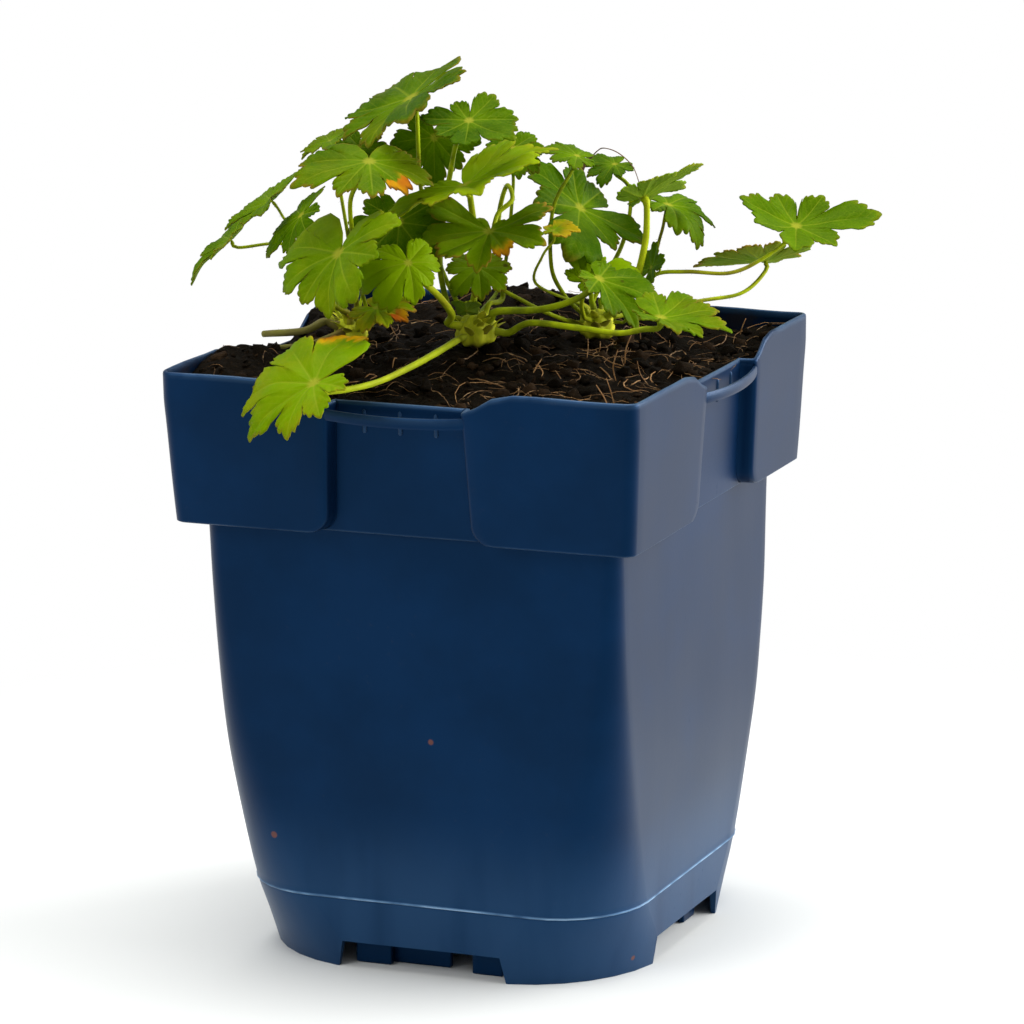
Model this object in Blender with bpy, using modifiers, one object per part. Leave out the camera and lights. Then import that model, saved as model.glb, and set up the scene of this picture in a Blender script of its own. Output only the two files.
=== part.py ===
"""Potted hardy geranium: a square nursery pot, its soil, three crowns, leaf stalks and leaf blades.

Standalone Blender 4.5 script. Metres, +Z up, origin on the ground under the middle of the pot.
The pot's front face looks along -Y and its right face along +X.
"""
import math

import bmesh
import bpy
from mathutils import Matrix, Vector

MM = 0.001
GAP = 0.3 * MM  # clearance left between pieces that touch

# Pot: half widths, heights and corner radii
POT_HEIGHT = 157 * MM
RIM_HALF = 65 * MM
RIM_CORNER = 3.2 * MM
RIM_SHOULDER = 149 * MM  # the rim's dips start above this height
COLLAR_BOTTOM = 117.5 * MM
COLLAR_BOTTOM_HALF = 63 * MM
WALL = 1.2 * MM
FLOOR_UNDER = 7.5 * MM
FLOOR_TOP = 9 * MM
# Body: height, half width, corner radius
BODY_SECTIONS = (
    (0 * MM, 53.3 * MM, 36 * MM),
    (9 * MM, 53.6 * MM, 30 * MM),
    (19 * MM, 54.0 * MM, 23 * MM),
    (39 * MM, 55.2 * MM, 16 * MM),
    (63 * MM, 56.3 * MM, 10 * MM),
    (88 * MM, 56.7 * MM, 6 * MM),
    (117.5 * MM, 57.0 * MM, 4 * MM),
)
# Recess in the middle of each side of the collar
RECESS_DEPTH = 4.1 * MM
RECESS_HALF_TOP = 18.2 * MM
RECESS_HALF_BOTTOM = 20 * MM
RECESS_BEVEL = 1 * MM
RIM_DIP = 5 * MM
DIP_END = 30 * MM
# Label strap across the top of each recess
STRAP_TOP = 150.3 * MM
STRAP_HEIGHT = 2.8 * MM
STRAP_THICK = 1 * MM
STRAP_BOW = 2.6 * MM
STRAP_STEPS = 8
STRAP_FACE = RIM_HALF - 0.35 * MM  # distance of its outer face from the axis at its ends
STRAP_LAP = 1 * MM  # how far its ends run into the panels
RIB_SPACING = 9.8 * MM
RIB_WIDTH = 0.9 * MM
RIB_PROUD = 0.6 * MM
RIB_BOTTOM = 145 * MM
RIB_TOP = 150.5 * MM
# Foot: cut-outs in the skirt, blocks behind them, drain holes
CUTOUT_HALF_TOP = 22 * MM
CUTOUT_HALF_BOTTOM = 24 * MM
CUTOUT_HEIGHT = 7 * MM
FOOT_BLOCKS = (
    # from, to along the side, distance of the outer face from the axis
    (-20.5 * MM, -10.5 * MM, 48.5 * MM),
    (-11.5 * MM, 5 * MM, 45.5 * MM),
    (12 * MM, 20.5 * MM, 48 * MM),
)
FOOT_BLOCK_THICK = 2 * MM
SUNK = 0.5 * MM  # how far ribs and blocks run into what they stand on
DRAIN_RADIUS = 4 * MM
DRAIN_DISTANCE = 30 * MM
CUT_MARGIN = 3 * MM  # how far the cutters run past what they cut
# Points on each side of a section beyond the recess, and steps round each corner
SIDE_STEPS = (24 * MM, DIP_END)
CORNER_STEPS = 3

# Soil: height at the wall, then hills (x, y, height, spread)
SOIL_LEVEL = 149.5 * MM
SOIL_HILLS = (
    (-2 * MM, -2 * MM, 6.5 * MM, 26 * MM),
    (-20 * MM, 52 * MM, 9 * MM, 17 * MM),
    (8 * MM, 54 * MM, 6 * MM, 14 * MM),
    (28 * MM, 56 * MM, 6 * MM, 7 * MM),
    (-48 * MM, 8 * MM, 2.5 * MM, 13 * MM),
    (-62 * MM, 30 * MM, 7 * MM, 15 * MM),
    (52 * MM, 52 * MM, -1.5 * MM, 16 * MM),
)
SOIL_RINGS = (0.93, 0.8, 0.62, 0.42, 0.2)
SOIL_RIM_HALF = RIM_HALF - 0.8 * MM
SOIL_SLACK = 0.5 * MM  # kept clear of the sloping wall and the recesses

# Crowns: x, y, radius, height
CROWNS = {
    "crown_middle": (-2, -5, 4.9, 8.5),
    "crown_right": (19, 27, 4.4, 7.5),
    "crown_left": (-40, 0, 4.2, 6),
}

CROWN_LIFT = 0.4 * MM  # clears the flat facets of the soil
CROWN_FLAT = 0.85  # share of the sphere kept below its middle

BLADE_THICK = 0.6 * MM
LOBE_ANGLES = {7: 42, 5: 60}
LOBE_LENGTHS = {7: (1.0, 0.99, 0.95, 0.8), 5: (1.0, 0.95, 0.8)}
# One lobe's edge: share of the way from its middle to the next notch, share of its length
LOBE_EDGE = ((-1.0, 0.5), (-0.76, 0.83), (-0.28, 1.0), (0.28, 1.0), (0.76, 0.83))
NOTCH_HALF = math.radians(4)  # least half angle left open at the stalk's notch
TILT_START = 0.15  # share of the blade that stays unbent
TILT_CURVE = 1.4

# Leaves. blade: x, y, z of the point where the stalk joins, in mm. turn: heading, pitch and roll
# of the middle lobe in degrees. size: middle lobe in mm, droop and fold in degrees, lobes.
# spread: share of the usual angle between lobes. reach and tilt: each lobe's share of its usual
# length and how far it bends out of the blade, from the right-hand basal lobe round.
# stalk: crown, heading and rise of its start in degrees, radius in mm. via: points it passes, in mm.
LEAVES = {
    "top_left": {
        "blade": (-20, -4, 220.5), "turn": (208, -29, -2), "size": (26, 2, 4, 7), "spread": 0.98,
        "reach": (1.19, 1.12, 0.84, 0.79, 0.84, 1.2, 1.12),
        "tilt": (-0.07, 0.02, 0.07, 0.06, -0.18, 0.11, 0.07),
        "stalk": ("crown_middle", 165, 45, 0.9),
        "via": ((-15.5, 1, 178), (-18.5, -2, 196.5), (-18.5, -4, 206.5)),
    },
    "top": {
        "blade": (3, -20.5, 218), "turn": (287, -28, 0), "size": (14, -18, -5, 7), "spread": 1.18,
        "reach": (0.72, 0.95, 0.76, 0.97, 1.18, 0.93, 1.03),
        "tilt": (0.14, -0.09, -0.04, 0.07, 0.13, -0.12, 0.06),
        "stalk": ("crown_middle", 185, 30, 1.1),
        "via": ((-12, -5, 176), (-12, -2.5, 189), (-9, -5.5, 201), (-3, -13.5, 212)),
    },
    "upper_left_back": {
        "blade": (-42, -7, 208.5), "turn": (210, -22, 1), "size": (10.5, 14, 9, 7), "spread": 1.06,
        "reach": (1.15, 0.99, 0.96, 0.82, 0.78, 1, 0.96),
        "tilt": (0.04, 0.05, 0.04, -0.02, 0.05, 0.01, 0.02),
        "stalk": ("crown_left", 60, 75, 0.8), "via": ((-39.5, -2, 181.5), (-40.5, -6, 199.5)),
    },
    "upper_left": {
        "blade": (-19, -34, 208.5), "turn": (297, -21, -1), "size": (18.5, 9, -7, 7), "spread": 0.88,
        "reach": (1.3, 1.2, 0.81, 0.85, 0.81, 0.96, 1), "tilt": (0.01, 0.14, -0.1, 0.02, -0.02, -0.01, 0),
        "stalk": ("crown_left", 320, 65, 1), "via": ((-29.5, -21, 180.5), (-26, -30, 197.5)),
    },
    "far_left_high": {
        "blade": (-54.5, -17, 194), "turn": (202, -36, -1), "size": (14, -6, 3, 7), "spread": 0.94,
        "reach": (1.28, 1.02, 1.03, 1.02, 0.81, 1.06, 0.91),
        "tilt": (0.01, 0.03, 0.09, 0.15, -0.09, -0.02, 0.1),
        "stalk": ("crown_left", 190, 55, 0.7),
        "via": ((-44.5, -6, 169), (-49.5, -6, 181), (-53, -11.5, 187.5)),
    },
    "far_left_low": {
        "blade": (-73.5, -2, 180), "turn": (209, -40, 4), "size": (13.5, 3, 9, 7), "spread": 0.95,
        "reach": (1.08, 1.04, 0.87, 1.19, 0.69, 1, 0.88),
        "tilt": (0.06, -0.02, 0.12, 0.03, -0.03, 0.01, 0.09),
        "stalk": ("crown_left", 150, 50, 0.8), "via": ((-46, 4, 170), (-53, 4, 177), (-62, 2, 179)),
    },
    "left_back": {
        "blade": (-43.5, -22.5, 191.5), "turn": (204, -44, -10), "size": (13, 10, 0, 7), "spread": 1,
        "reach": (1.2, 1, 0.9, 1.12, 0.92, 1, 0.8), "tilt": (-0.01, 0, 0.1, 0.09, -0.11, -0.01, 0.03),
        "stalk": ("crown_left", 255, 70, 0.8), "via": ((-41, -13, 178),),
    },
    "left": {
        "blade": (-21.5, -48, 187), "turn": (268, -40, 24), "size": (21.5, 24, 12, 7), "spread": 0.85,
        "reach": (1.57, 1.04, 0.78, 0.86, 1.05, 0.87, 1.2),
        "tilt": (0.13, 0.02, -0.1, -0.08, 0.12, -0.03, 0.03),
        "stalk": ("crown_left", 290, 45, 1.1), "via": ((-31.5, -34, 173),),
    },
    "middle_left": {
        "blade": (-8.5, -34.5, 183), "turn": (315, -51, 4), "size": (12, 35, 1, 7), "spread": 1.04,
        "reach": (0.91, 1.48, 1.25, 0.94, 0.74, 0.87, 1.04),
        "tilt": (0.02, -0.11, -0.01, -0.05, -0.1, -0.01, 0.05),
        "stalk": ("crown_middle", 222, 18, 1.3), "via": ((-5.5, -14, 166.5), (-5.5, -24, 173.5)),
    },
    "over_rim": {
        "blade": (-16.5, -76, 159), "turn": (206, -26, -20), "size": (21, 29, 13, 7), "spread": 0.99,
        "reach": (1.51, 1.21, 1.33, 1.07, 0.87, 0.76, 0.7),
        "tilt": (0.04, 0.15, 0.09, 0.07, -0.2, -0.12, 0.05),
        "stalk": ("crown_middle", 248, -12, 1.2),
        "via": ((-5.5, -26.5, 158), (-7, -51.5, 156.5), (-10.5, -67, 156.5)),
    },
    "low_left": {
        "blade": (-18, -33.5, 170.5), "turn": (347, -6, 13), "size": (11, 13, 2, 7), "spread": 0.89,
        "reach": (0.94, 1.01, 0.92, 0.93, 0.96, 1.11, 1.01),
        "tilt": (0.05, -0.08, -0.01, 0.01, 0.02, 0.06, 0),
        "stalk": ("crown_left", 320, 15, 1), "via": ((-24.5, -24.5, 163.5),),
    },
    "upper_middle": {
        "blade": (1, -19, 201), "turn": (304, 1, 20), "size": (22, -3, 7, 7), "spread": 1.03,
        "reach": (0.63, 1.09, 0.79, 0.93, 1.14, 1.22, 1.26),
        "tilt": (0.09, -0.14, 0.01, 0.1, 0.06, -0.08, 0.13),
        "stalk": ("crown_middle", 125, 60, 1.2),
        "via": ((-4.5, 3.5, 176), (-5.5, 2, 187), (-5, -2, 197), (-2, -10.5, 200)),
    },
    "upper_middle_back": {
        "blade": (19, 13.5, 204.5), "turn": (213, 13, -12), "size": (10, 9, 2, 7), "spread": 0.91,
        "reach": (1.03, 1.2, 1, 0.97, 0.95, 0.95, 0.85), "tilt": (-0.03, 0.04, 0, 0.1, 0, 0.03, 0.04),
        "stalk": ("crown_right", 205, 40, 0.9),
        "via": ((12, 20.5, 166.5), (10.5, 15.5, 175), (13, 12, 191)),
    },
    "middle": {
        "blade": (4.5, -11.5, 188), "turn": (276, -29, 2), "size": (18, 2, 10, 7), "spread": 0.88,
        "reach": (1.3, 1.16, 0.96, 0.83, 0.72, 1.01, 1.19),
        "tilt": (0.15, -0.09, 0.18, -0.07, -0.01, -0.15, 0.12),
        "stalk": ("crown_middle", 75, 50, 1),
        "via": ((-0.5, 9.5, 167), (-1, 7, 180), (0.5, 4.5, 190), (4.5, 1, 198), (7.5, -2.5, 195), (4.5, -5.5, 191.5)),
    },
    "low_middle": {
        "blade": (-2.5, -2.5, 176.5), "turn": (299, -31, -1), "size": (10.5, 27, 11, 7), "spread": 1.04,
        "reach": (1, 0.89, 1.13, 0.96, 0.98, 0.92, 1),
        "tilt": (0.01, 0.07, -0.05, -0.01, -0.05, 0.05, 0.01),
        "stalk": ("crown_right", 225, 10, 0.9), "via": ((9, 12.5, 163.5), (2.5, 4, 169.5)),
    },
    "young": {
        "blade": (-2.5, -11, 166.8), "turn": (285, 42, 0), "size": (5, 10, 25, 5), "spread": 1.1,
        "reach": (1, 1, 1, 1, 1), "tilt": (0, 0, 0, 0, 0),
        "stalk": None, "via": (),
    },
    "middle_right": {
        "blade": (13.5, 29, 188), "turn": (246, 13, -43), "size": (18.5, -4, 7, 7), "spread": 1.18,
        "reach": (0.96, 0.75, 0.97, 0.9, 1.49, 0.92, 1.33),
        "tilt": (-0.13, 0.17, -0.17, -0.01, 0.12, -0.01, 0.09),
        "stalk": ("crown_right", 150, 70, 1), "via": ((15, 31, 177),),
    },
    "upper_right_back": {
        "blade": (17.5, 44.5, 197.5), "turn": (228, -9, -14), "size": (9, 13, 4, 7), "spread": 0.89,
        "reach": (0.99, 1.11, 1.08, 0.97, 1.07, 0.82, 0.88),
        "tilt": (-0.13, 0.08, 0.2, -0.04, -0.11, 0, 0.07),
        "stalk": ("crown_right", 125, 40, 0.9), "via": ((20.5, 41, 176.5), (21.5, 44.5, 190.5)),
    },
    "right_folded": {
        "blade": (32.5, 26, 192.5), "turn": (29, 22, -26), "size": (15, -9, 2, 7), "spread": 0.91,
        "reach": (0.96, 0.91, 0.87, 1.18, 0.98, 0.6, 0.6), "tilt": (0.09, -0.03, -0.02, 0.11, 0, 0, 0),
        "stalk": ("crown_right", 340, 40, 1.3), "via": ((30, 23, 166), (33.5, 25.5, 181)),
    },
    "right_drooping": {
        "blade": (33, 43, 187.5), "turn": (16, -17, 4), "size": (15.5, 39, 12, 7), "spread": 0.85,
        "reach": (0.9, 1.14, 1.14, 0.84, 1.08, 0.97, 1.08),
        "tilt": (0.1, 0.11, -0.14, -0.11, 0.08, 0.21, -0.07),
        "stalk": ("crown_right", 85, 65, 0.8), "via": ((29, 38, 172), (31.5, 41, 180)),
    },
    "right_small": {
        "blade": (34, 28, 173.5), "turn": (30, 64, 13), "size": (7, -12, 1, 5), "spread": 0.98,
        "reach": (1.11, 1.07, 1.01, 0.92, 0.92), "tilt": (0.03, 0, 0.24, 0.05, 0.05),
        "stalk": ("crown_right", 5, 10, 0.7), "via": ((29, 27.5, 166),),
    },
    "far_right": {
        "blade": (63.5, 58.5, 181), "turn": (287, -22, -10), "size": (17, -26, 7, 7), "spread": 1.19,
        "reach": (0.93, 1.01, 0.96, 0.96, 0.8, 1.34, 0.98),
        "tilt": (-0.05, 0.02, 0.16, 0.03, -0.14, -0.06, 0.14),
        "stalk": ("crown_right", 30, 35, 0.9),
        "via": ((31.5, 34.5, 170), (39.5, 38.5, 171), (49.5, 45.5, 170), (56.5, 52.5, 173)),
    },
    "far_right_low": {
        "blade": (47.5, 78.5, 167.5), "turn": (312, 22, -3), "size": (15.5, -23, 1, 7), "spread": 1.06,
        "reach": (1.57, 0.99, 0.87, 0.76, 0.9, 0.72, 0.71),
        "tilt": (-0.06, -0.02, -0.02, 0.19, -0.08, -0.02, 0),
        "stalk": ("crown_right", 68, 8, 0.9), "via": ((35, 59.5, 159), (44, 70, 160)),
    },
    "low_right_folded": {
        "blade": (22.5, 9.5, 172.5), "turn": (42, 15, 33), "size": (11, 1, 5, 7), "spread": 0.96,
        "reach": (0.5, 0.5, 0.55, 1.42, 0.93, 1.03, 0.7), "tilt": (0, 0, -0.01, -0.03, 0.07, 0.03, 0.02),
        "stalk": ("crown_right", 262, 25, 0.9), "via": ((20, 13.5, 165.5),),
    },
    "low_right": {
        "blade": (30, 0, 175), "turn": (350, -32, 2), "size": (17, 16, 9, 7), "spread": 0.85,
        "reach": (0.55, 0.65, 0.91, 0.99, 1.06, 1.24, 0.7),
        "tilt": (0, 0.02, 0.01, -0.11, 0.18, 0.05, 0.01),
        "stalk": ("crown_middle", 347, 42, 1.3), "via": ((14.5, -1.5, 166.5), (24, -1, 169.5)),
    },
    "front_right": {
        "blade": (52, -13, 168.5), "turn": (16, -12, 6), "size": (17.5, -5, 8, 7), "spread": 0.85,
        "reach": (0.95, 1.09, 0.83, 1.05, 0.99, 1.07, 0.98),
        "tilt": (0.09, 0.05, -0.1, 0.09, 0.09, 0.02, 0.01),
        "stalk": ("crown_middle", 5, -2, 1.2),
        "via": ((13, -5.5, 163.5), (28, -10, 164), (40.5, -13.5, 164), (47.5, -14, 165.5)),
    },
    "yellowed": {
        "blade": (17.5, 0, 187), "turn": (19, 3, 10), "size": (7.5, 5, 7, 5), "spread": 1.01,
        "reach": (0.6, 1, 0.93, 1.01, 0.6), "tilt": (0, 0.01, 0.03, 0.04, 0.01),
        "stalk": ("crown_right", 235, 50, 0.7), "via": ((9.5, 7.5, 171.5), (14, 1, 180)),
    },
}

# Old stalks whose leaves are gone: crown, heading and rise of the start, radius, then the points passed
OLD_STALKS = {
    "stalk_old_long": (("crown_left", 215, 20, 1.3), ((-49.5, -10, 158.5), (-62, -8, 156.5))),
    "stalk_old_short": (("crown_left", 255, -5, 1.2), ((-47, -13, 155.5), (-55, -19, 155))),
}

STALK_SPACING = 5 * MM  # between the points of a stalk's route
STALK_LEAD = 2.5 * MM  # straight run at each end
STALK_TAPER = 0.8


def clear_scene():
    for obj in list(bpy.data.objects):
        bpy.data.objects.remove(obj, do_unlink=True)


def collection(name):
    group = bpy.data.collections.new(name)
    bpy.context.scene.collection.children.link(group)
    return group


def material(name, colour, roughness, metallic=0.0):
    mat = bpy.data.materials.new(name)
    mat.use_nodes = True
    bsdf = mat.node_tree.nodes["Principled BSDF"]
    bsdf.inputs["Base Color"].default_value = (*colour, 1.0)
    bsdf.inputs["Roughness"].default_value = roughness
    bsdf.inputs["Metallic"].default_value = metallic
    return mat


def mesh_object(name, bm, group, mat=None):
    mesh = bpy.data.meshes.new(name)
    bm.to_mesh(mesh)
    bm.free()
    obj = bpy.data.objects.new(name, mesh)
    if mat:
        mesh.materials.append(mat)
    group.objects.link(obj)
    return obj


def blend(rows, z):
    """Values of a table of (height, value, value...) rows at height z."""
    if z <= rows[0][0]:
        return rows[0][1:]
    for low, high in zip(rows, rows[1:]):
        if z <= high[0]:
            share = (z - low[0]) / (high[0] - low[0])
            return tuple(a + (b - a) * share for a, b in zip(low[1:], high[1:]))
    return rows[-1][1:]


# ---------------------------------------------------------------- pot


def section(z, half, corner, depth=0.0, dip=0.0, grow=0.0):
    """One square section of the pot, counter-clockwise; grow widens the recess in each side."""
    share = min(max((z - COLLAR_BOTTOM) / (POT_HEIGHT - COLLAR_BOTTOM), 0.0), 1.0)
    recess = RECESS_HALF_BOTTOM + (RECESS_HALF_TOP - RECESS_HALF_BOTTOM) * share + grow
    run = half - corner
    along = [recess - RECESS_BEVEL, recess, *SIDE_STEPS]
    if run < SIDE_STEPS[-1] + 1 * MM:
        along = [run * step / (SIDE_STEPS[-1] + 3 * MM) for step in along]
    points = []
    for side in range(4):
        turn = Matrix.Rotation(side * math.pi / 2, 3, "Z")
        for a in [-step for step in reversed(along)] + along:
            inside = abs(a) < (along[0] + along[1]) / 2
            edge = min(max((DIP_END - abs(a)) / (DIP_END - RECESS_HALF_TOP), 0.0), 1.0)
            drop = dip * edge ** 2 * (3 - 2 * edge)
            points.append(turn @ Vector((a, depth - half if inside else -half, z - drop)))
        centre = Vector((run, -run, 0))
        for i in range(CORNER_STEPS + 1):
            angle = (i / CORNER_STEPS - 1) * math.pi / 2
            points.append(turn @ (centre + Vector((corner * math.cos(angle), corner * math.sin(angle), z))))
    return points


def loft(bm, sections):
    """Join sections of equal count into a skin, closed at both ends."""
    rings = [[bm.verts.new(p) for p in points] for points in sections]
    for low, high in zip(rings, rings[1:]):
        count = len(low)
        for i in range(count):
            j = (i + 1) % count
            bm.faces.new((low[i], low[j], high[j], high[i]))
    for ring, flip in ((rings[0], True), (rings[-1], False)):
        bm.faces.new(list(reversed(ring)) if flip else ring)
    return rings


def pot_sections():
    """Sections up the outside, over the rim and down the inside to the floor."""
    outer = [section(z, half, corner) for z, half, corner in BODY_SECTIONS]
    outer.append(section(COLLAR_BOTTOM, COLLAR_BOTTOM_HALF, RIM_CORNER, RECESS_DEPTH))
    outer.append(section(RIM_SHOULDER, RIM_HALF, RIM_CORNER, RECESS_DEPTH))
    outer.append(section(POT_HEIGHT, RIM_HALF, RIM_CORNER, RECESS_DEPTH, RIM_DIP))
    corner = RIM_CORNER - WALL
    inner = [
        section(POT_HEIGHT, RIM_HALF - WALL, corner, RECESS_DEPTH, RIM_DIP, WALL),
        section(RIM_SHOULDER, RIM_HALF - WALL, corner, RECESS_DEPTH, 0.0, WALL),
        section(COLLAR_BOTTOM + WALL, COLLAR_BOTTOM_HALF - WALL, corner, RECESS_DEPTH, 0.0, WALL),
    ]
    for z, half, corner in reversed(BODY_SECTIONS[1:]):
        height = COLLAR_BOTTOM + WALL if z >= COLLAR_BOTTOM else z
        inner.append(section(height, half - WALL, max(corner - WALL, 1 * MM)))
    return outer + inner


def pot_shell(group, mat):
    _, half, corner = BODY_SECTIONS[0]
    under = [
        section(FLOOR_UNDER, half - WALL, corner - WALL),
        section(0, half - WALL, corner - WALL),
    ]
    bm = bmesh.new()
    loft(bm, under + pot_sections())
    bmesh.ops.recalc_face_normals(bm, faces=bm.faces[:])
    return mesh_object("pot", bm, group, mat)


def box(bm, low, high, turn=None, top=None):
    """A box between two corners; top narrows its upper face along x to that half width."""
    made = bmesh.ops.create_cube(bm, size=1)["verts"]
    centre = (Vector(low) + Vector(high)) / 2
    size = Vector(high) - Vector(low)
    for v in made:
        upper = v.co.z > 0
        v.co = Vector((v.co.x * size.x, v.co.y * size.y, v.co.z * size.z)) + centre
        if top and upper:
            v.co.x = math.copysign(top, v.co.x)
        if turn:
            v.co = turn @ v.co
    return made


def strap(bm, turn):
    """The bowed strap across one recess, swept between the two panels."""
    half = RECESS_HALF_TOP + STRAP_LAP
    rings = []
    for i in range(STRAP_STEPS + 1):
        a = -half + 2 * half * i / STRAP_STEPS
        bow = STRAP_BOW * (1 - (a / half) ** 2)
        outer = -(STRAP_FACE + bow)
        inner = outer + STRAP_THICK
        low = STRAP_TOP - STRAP_HEIGHT
        corners = ((a, outer, low), (a, inner, low), (a, inner, STRAP_TOP), (a, outer, STRAP_TOP))
        rings.append([turn @ Vector(c) for c in corners])
    loft(bm, rings)


def additions(group):
    """Everything that stands on the shell: straps, label ribs and foot blocks."""
    bm = bmesh.new()
    wall = RIM_HALF - RECESS_DEPTH
    for side in range(4):
        turn = Matrix.Rotation(side * math.pi / 2, 3, "Z")
        strap(bm, turn)
        for i in (-1, 0, 1):
            x = i * RIB_SPACING
            box(bm, (x - RIB_WIDTH / 2, -wall - RIB_PROUD, RIB_BOTTOM),
                (x + RIB_WIDTH / 2, -wall + SUNK, RIB_TOP), turn)
        for start, end, distance in FOOT_BLOCKS:
            box(bm, (start, -distance, 0), (end, FOOT_BLOCK_THICK - distance, FLOOR_UNDER + SUNK), turn)
    bmesh.ops.recalc_face_normals(bm, faces=bm.faces[:])
    return mesh_object("pot_additions", bm, group)


def cuts(group):
    """Foot cut-outs in the skirt and drain holes in the floor."""
    bm = bmesh.new()
    for side in range(4):
        turn = Matrix.Rotation(side * math.pi / 2, 3, "Z")
        foot = BODY_SECTIONS[0][1]
        box(bm, (-CUTOUT_HALF_BOTTOM, -foot - CUT_MARGIN, -CUT_MARGIN),
            (CUTOUT_HALF_BOTTOM, CUT_MARGIN - foot, CUTOUT_HEIGHT), turn, CUTOUT_HALF_TOP)
        spot = turn @ Vector((0, -DRAIN_DISTANCE, (FLOOR_UNDER + FLOOR_TOP) / 2))
        bmesh.ops.create_cone(bm, cap_ends=True, segments=10, radius1=DRAIN_RADIUS, radius2=DRAIN_RADIUS,
                              depth=2 * CUT_MARGIN, matrix=Matrix.Translation(spot))
    bmesh.ops.recalc_face_normals(bm, faces=bm.faces[:])
    return mesh_object("pot_cuts", bm, group)


def boolean(obj, other, operation):
    other.hide_render = True
    other.display_type = "WIRE"
    mod = obj.modifiers.new(operation.lower(), "BOOLEAN")
    mod.operation = operation
    mod.object = other
    mod.solver = "EXACT"


def make_pot(parts, cutters):
    plastic = material("pot_plastic", (0.008, 0.030, 0.105), 0.42)
    pot = pot_shell(parts, plastic)
    boolean(pot, additions(cutters), "UNION")
    boolean(pot, cuts(cutters), "DIFFERENCE")
    return pot


# ---------------------------------------------------------------- soil


def soil_height(x, y):
    height = SOIL_LEVEL
    for cx, cy, rise, spread in SOIL_HILLS:
        height += rise * math.exp(-((x - cx) ** 2 + (y - cy) ** 2) / (2 * spread ** 2))
    return height


def soil_section(half, corner, z=None, scale=1.0, recessed=False):
    """Outline of the soil inside the wall; without a height it lies on the soil's surface."""
    half -= WALL + GAP + SOIL_SLACK
    clear = RECESS_HALF_BOTTOM + WALL + GAP + SOIL_SLACK
    depth = RECESS_DEPTH if recessed else 0.0
    run = half - corner
    points = []
    for side in range(4):
        turn = Matrix.Rotation(side * math.pi / 2, 3, "Z")
        step = min(clear, run * 0.6)
        for x, y in ((-step - RECESS_BEVEL, -half), (-step, depth - half), (step, depth - half),
                     (step + RECESS_BEVEL, -half), (run, -half), (half - 0.3 * corner, 0.3 * corner - half)):
            points.append(turn @ Vector((x * scale, y * scale, 0)))
        points.append(turn @ Vector((half * scale, -run * scale, 0)))
    for p in points:
        p.z = soil_height(p.x, p.y) if z is None else z
    return points


def make_soil(parts):
    earth = material("soil", (0.020, 0.012, 0.008), 0.95)
    rings = []
    for z, half, corner in BODY_SECTIONS[1:-1]:
        height = FLOOR_TOP + GAP if z == BODY_SECTIONS[1][0] else z
        rings.append(soil_section(half, corner, height))
    ledge = COLLAR_BOTTOM + WALL + GAP
    rings.append(soil_section(BODY_SECTIONS[-1][1], BODY_SECTIONS[-1][2], ledge))
    rings.append(soil_section(COLLAR_BOTTOM_HALF, RIM_CORNER, ledge, recessed=True))
    rings.append(soil_section(SOIL_RIM_HALF, RIM_CORNER, recessed=True))
    for scale in SOIL_RINGS:
        rings.append(soil_section(SOIL_RIM_HALF, RIM_CORNER, scale=scale))
    bm = bmesh.new()
    loft(bm, rings)
    bmesh.ops.recalc_face_normals(bm, faces=bm.faces[:])
    return mesh_object("soil", bm, parts, earth)


# ---------------------------------------------------------------- plant


def crown_centre(name):
    x, y, radius, height = (v * MM for v in CROWNS[name])
    middle = height * CROWN_FLAT / (1 + CROWN_FLAT)
    return Vector((x, y, crown_floor(name) + middle)), radius, height - middle


def crown_floor(name):
    """The highest soil under the crown, plus the gap."""
    x, y, radius, _ = (v * MM for v in CROWNS[name])
    around = [soil_height(x + radius * math.cos(a), y + radius * math.sin(a)) for a in range(6)]
    return max(around + [soil_height(x, y)]) + GAP + CROWN_LIFT


def make_crown(name, parts, mat):
    centre, across, rise = crown_centre(name)
    bm = bmesh.new()
    bmesh.ops.create_uvsphere(bm, u_segments=12, v_segments=8, radius=1)
    for v in bm.verts:
        z = max(v.co.z, -CROWN_FLAT)
        v.co = centre + Vector((v.co.x * across, v.co.y * across, z * rise))
    bmesh.ops.dissolve_degenerate(bm, dist=0.00001, edges=bm.edges[:])
    bmesh.ops.remove_doubles(bm, verts=bm.verts[:], dist=0.00001)
    return mesh_object(name, bm, parts, mat)


def direction(heading, rise):
    level = math.cos(rise)
    return Vector((level * math.cos(heading), level * math.sin(heading), math.sin(rise)))


def blade_axes(turn):
    """Unit vectors of a blade: along the middle lobe, to its left, and out of the upper face."""
    heading, pitch, roll = (math.radians(a) for a in turn)
    along = direction(heading, pitch)
    level = Vector((-math.sin(heading), math.cos(heading), 0))
    raised = along.cross(level)
    left = math.cos(roll) * level + math.sin(roll) * raised
    return along, left, along.cross(left)


def blade_point(radius, angle, leaf, tilt):
    """A flat point of a blade carried onto its drooping, folded form and bent with its lobe."""
    length, droop, fold, _ = leaf["size"]
    along, left, up = blade_axes(leaf["turn"])
    bend = math.radians(droop)
    share = radius / (length * MM)
    if abs(bend) > 1e-4:
        reach = length * MM * math.sin(bend * share) / bend
        drop = length * MM * (1 - math.cos(bend * share)) / bend
    else:
        reach, drop = radius, 0.0
    x = reach * math.cos(angle)
    y = reach * math.sin(angle)
    crease = math.radians(fold)
    where = x * along + y * math.cos(crease) * left + (abs(y) * math.sin(crease) - drop) * up
    lift = tilt * max(share - TILT_START, 0.0) ** TILT_CURVE * length * MM
    return Vector(leaf["blade"]) * MM + where + lift * up


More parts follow.
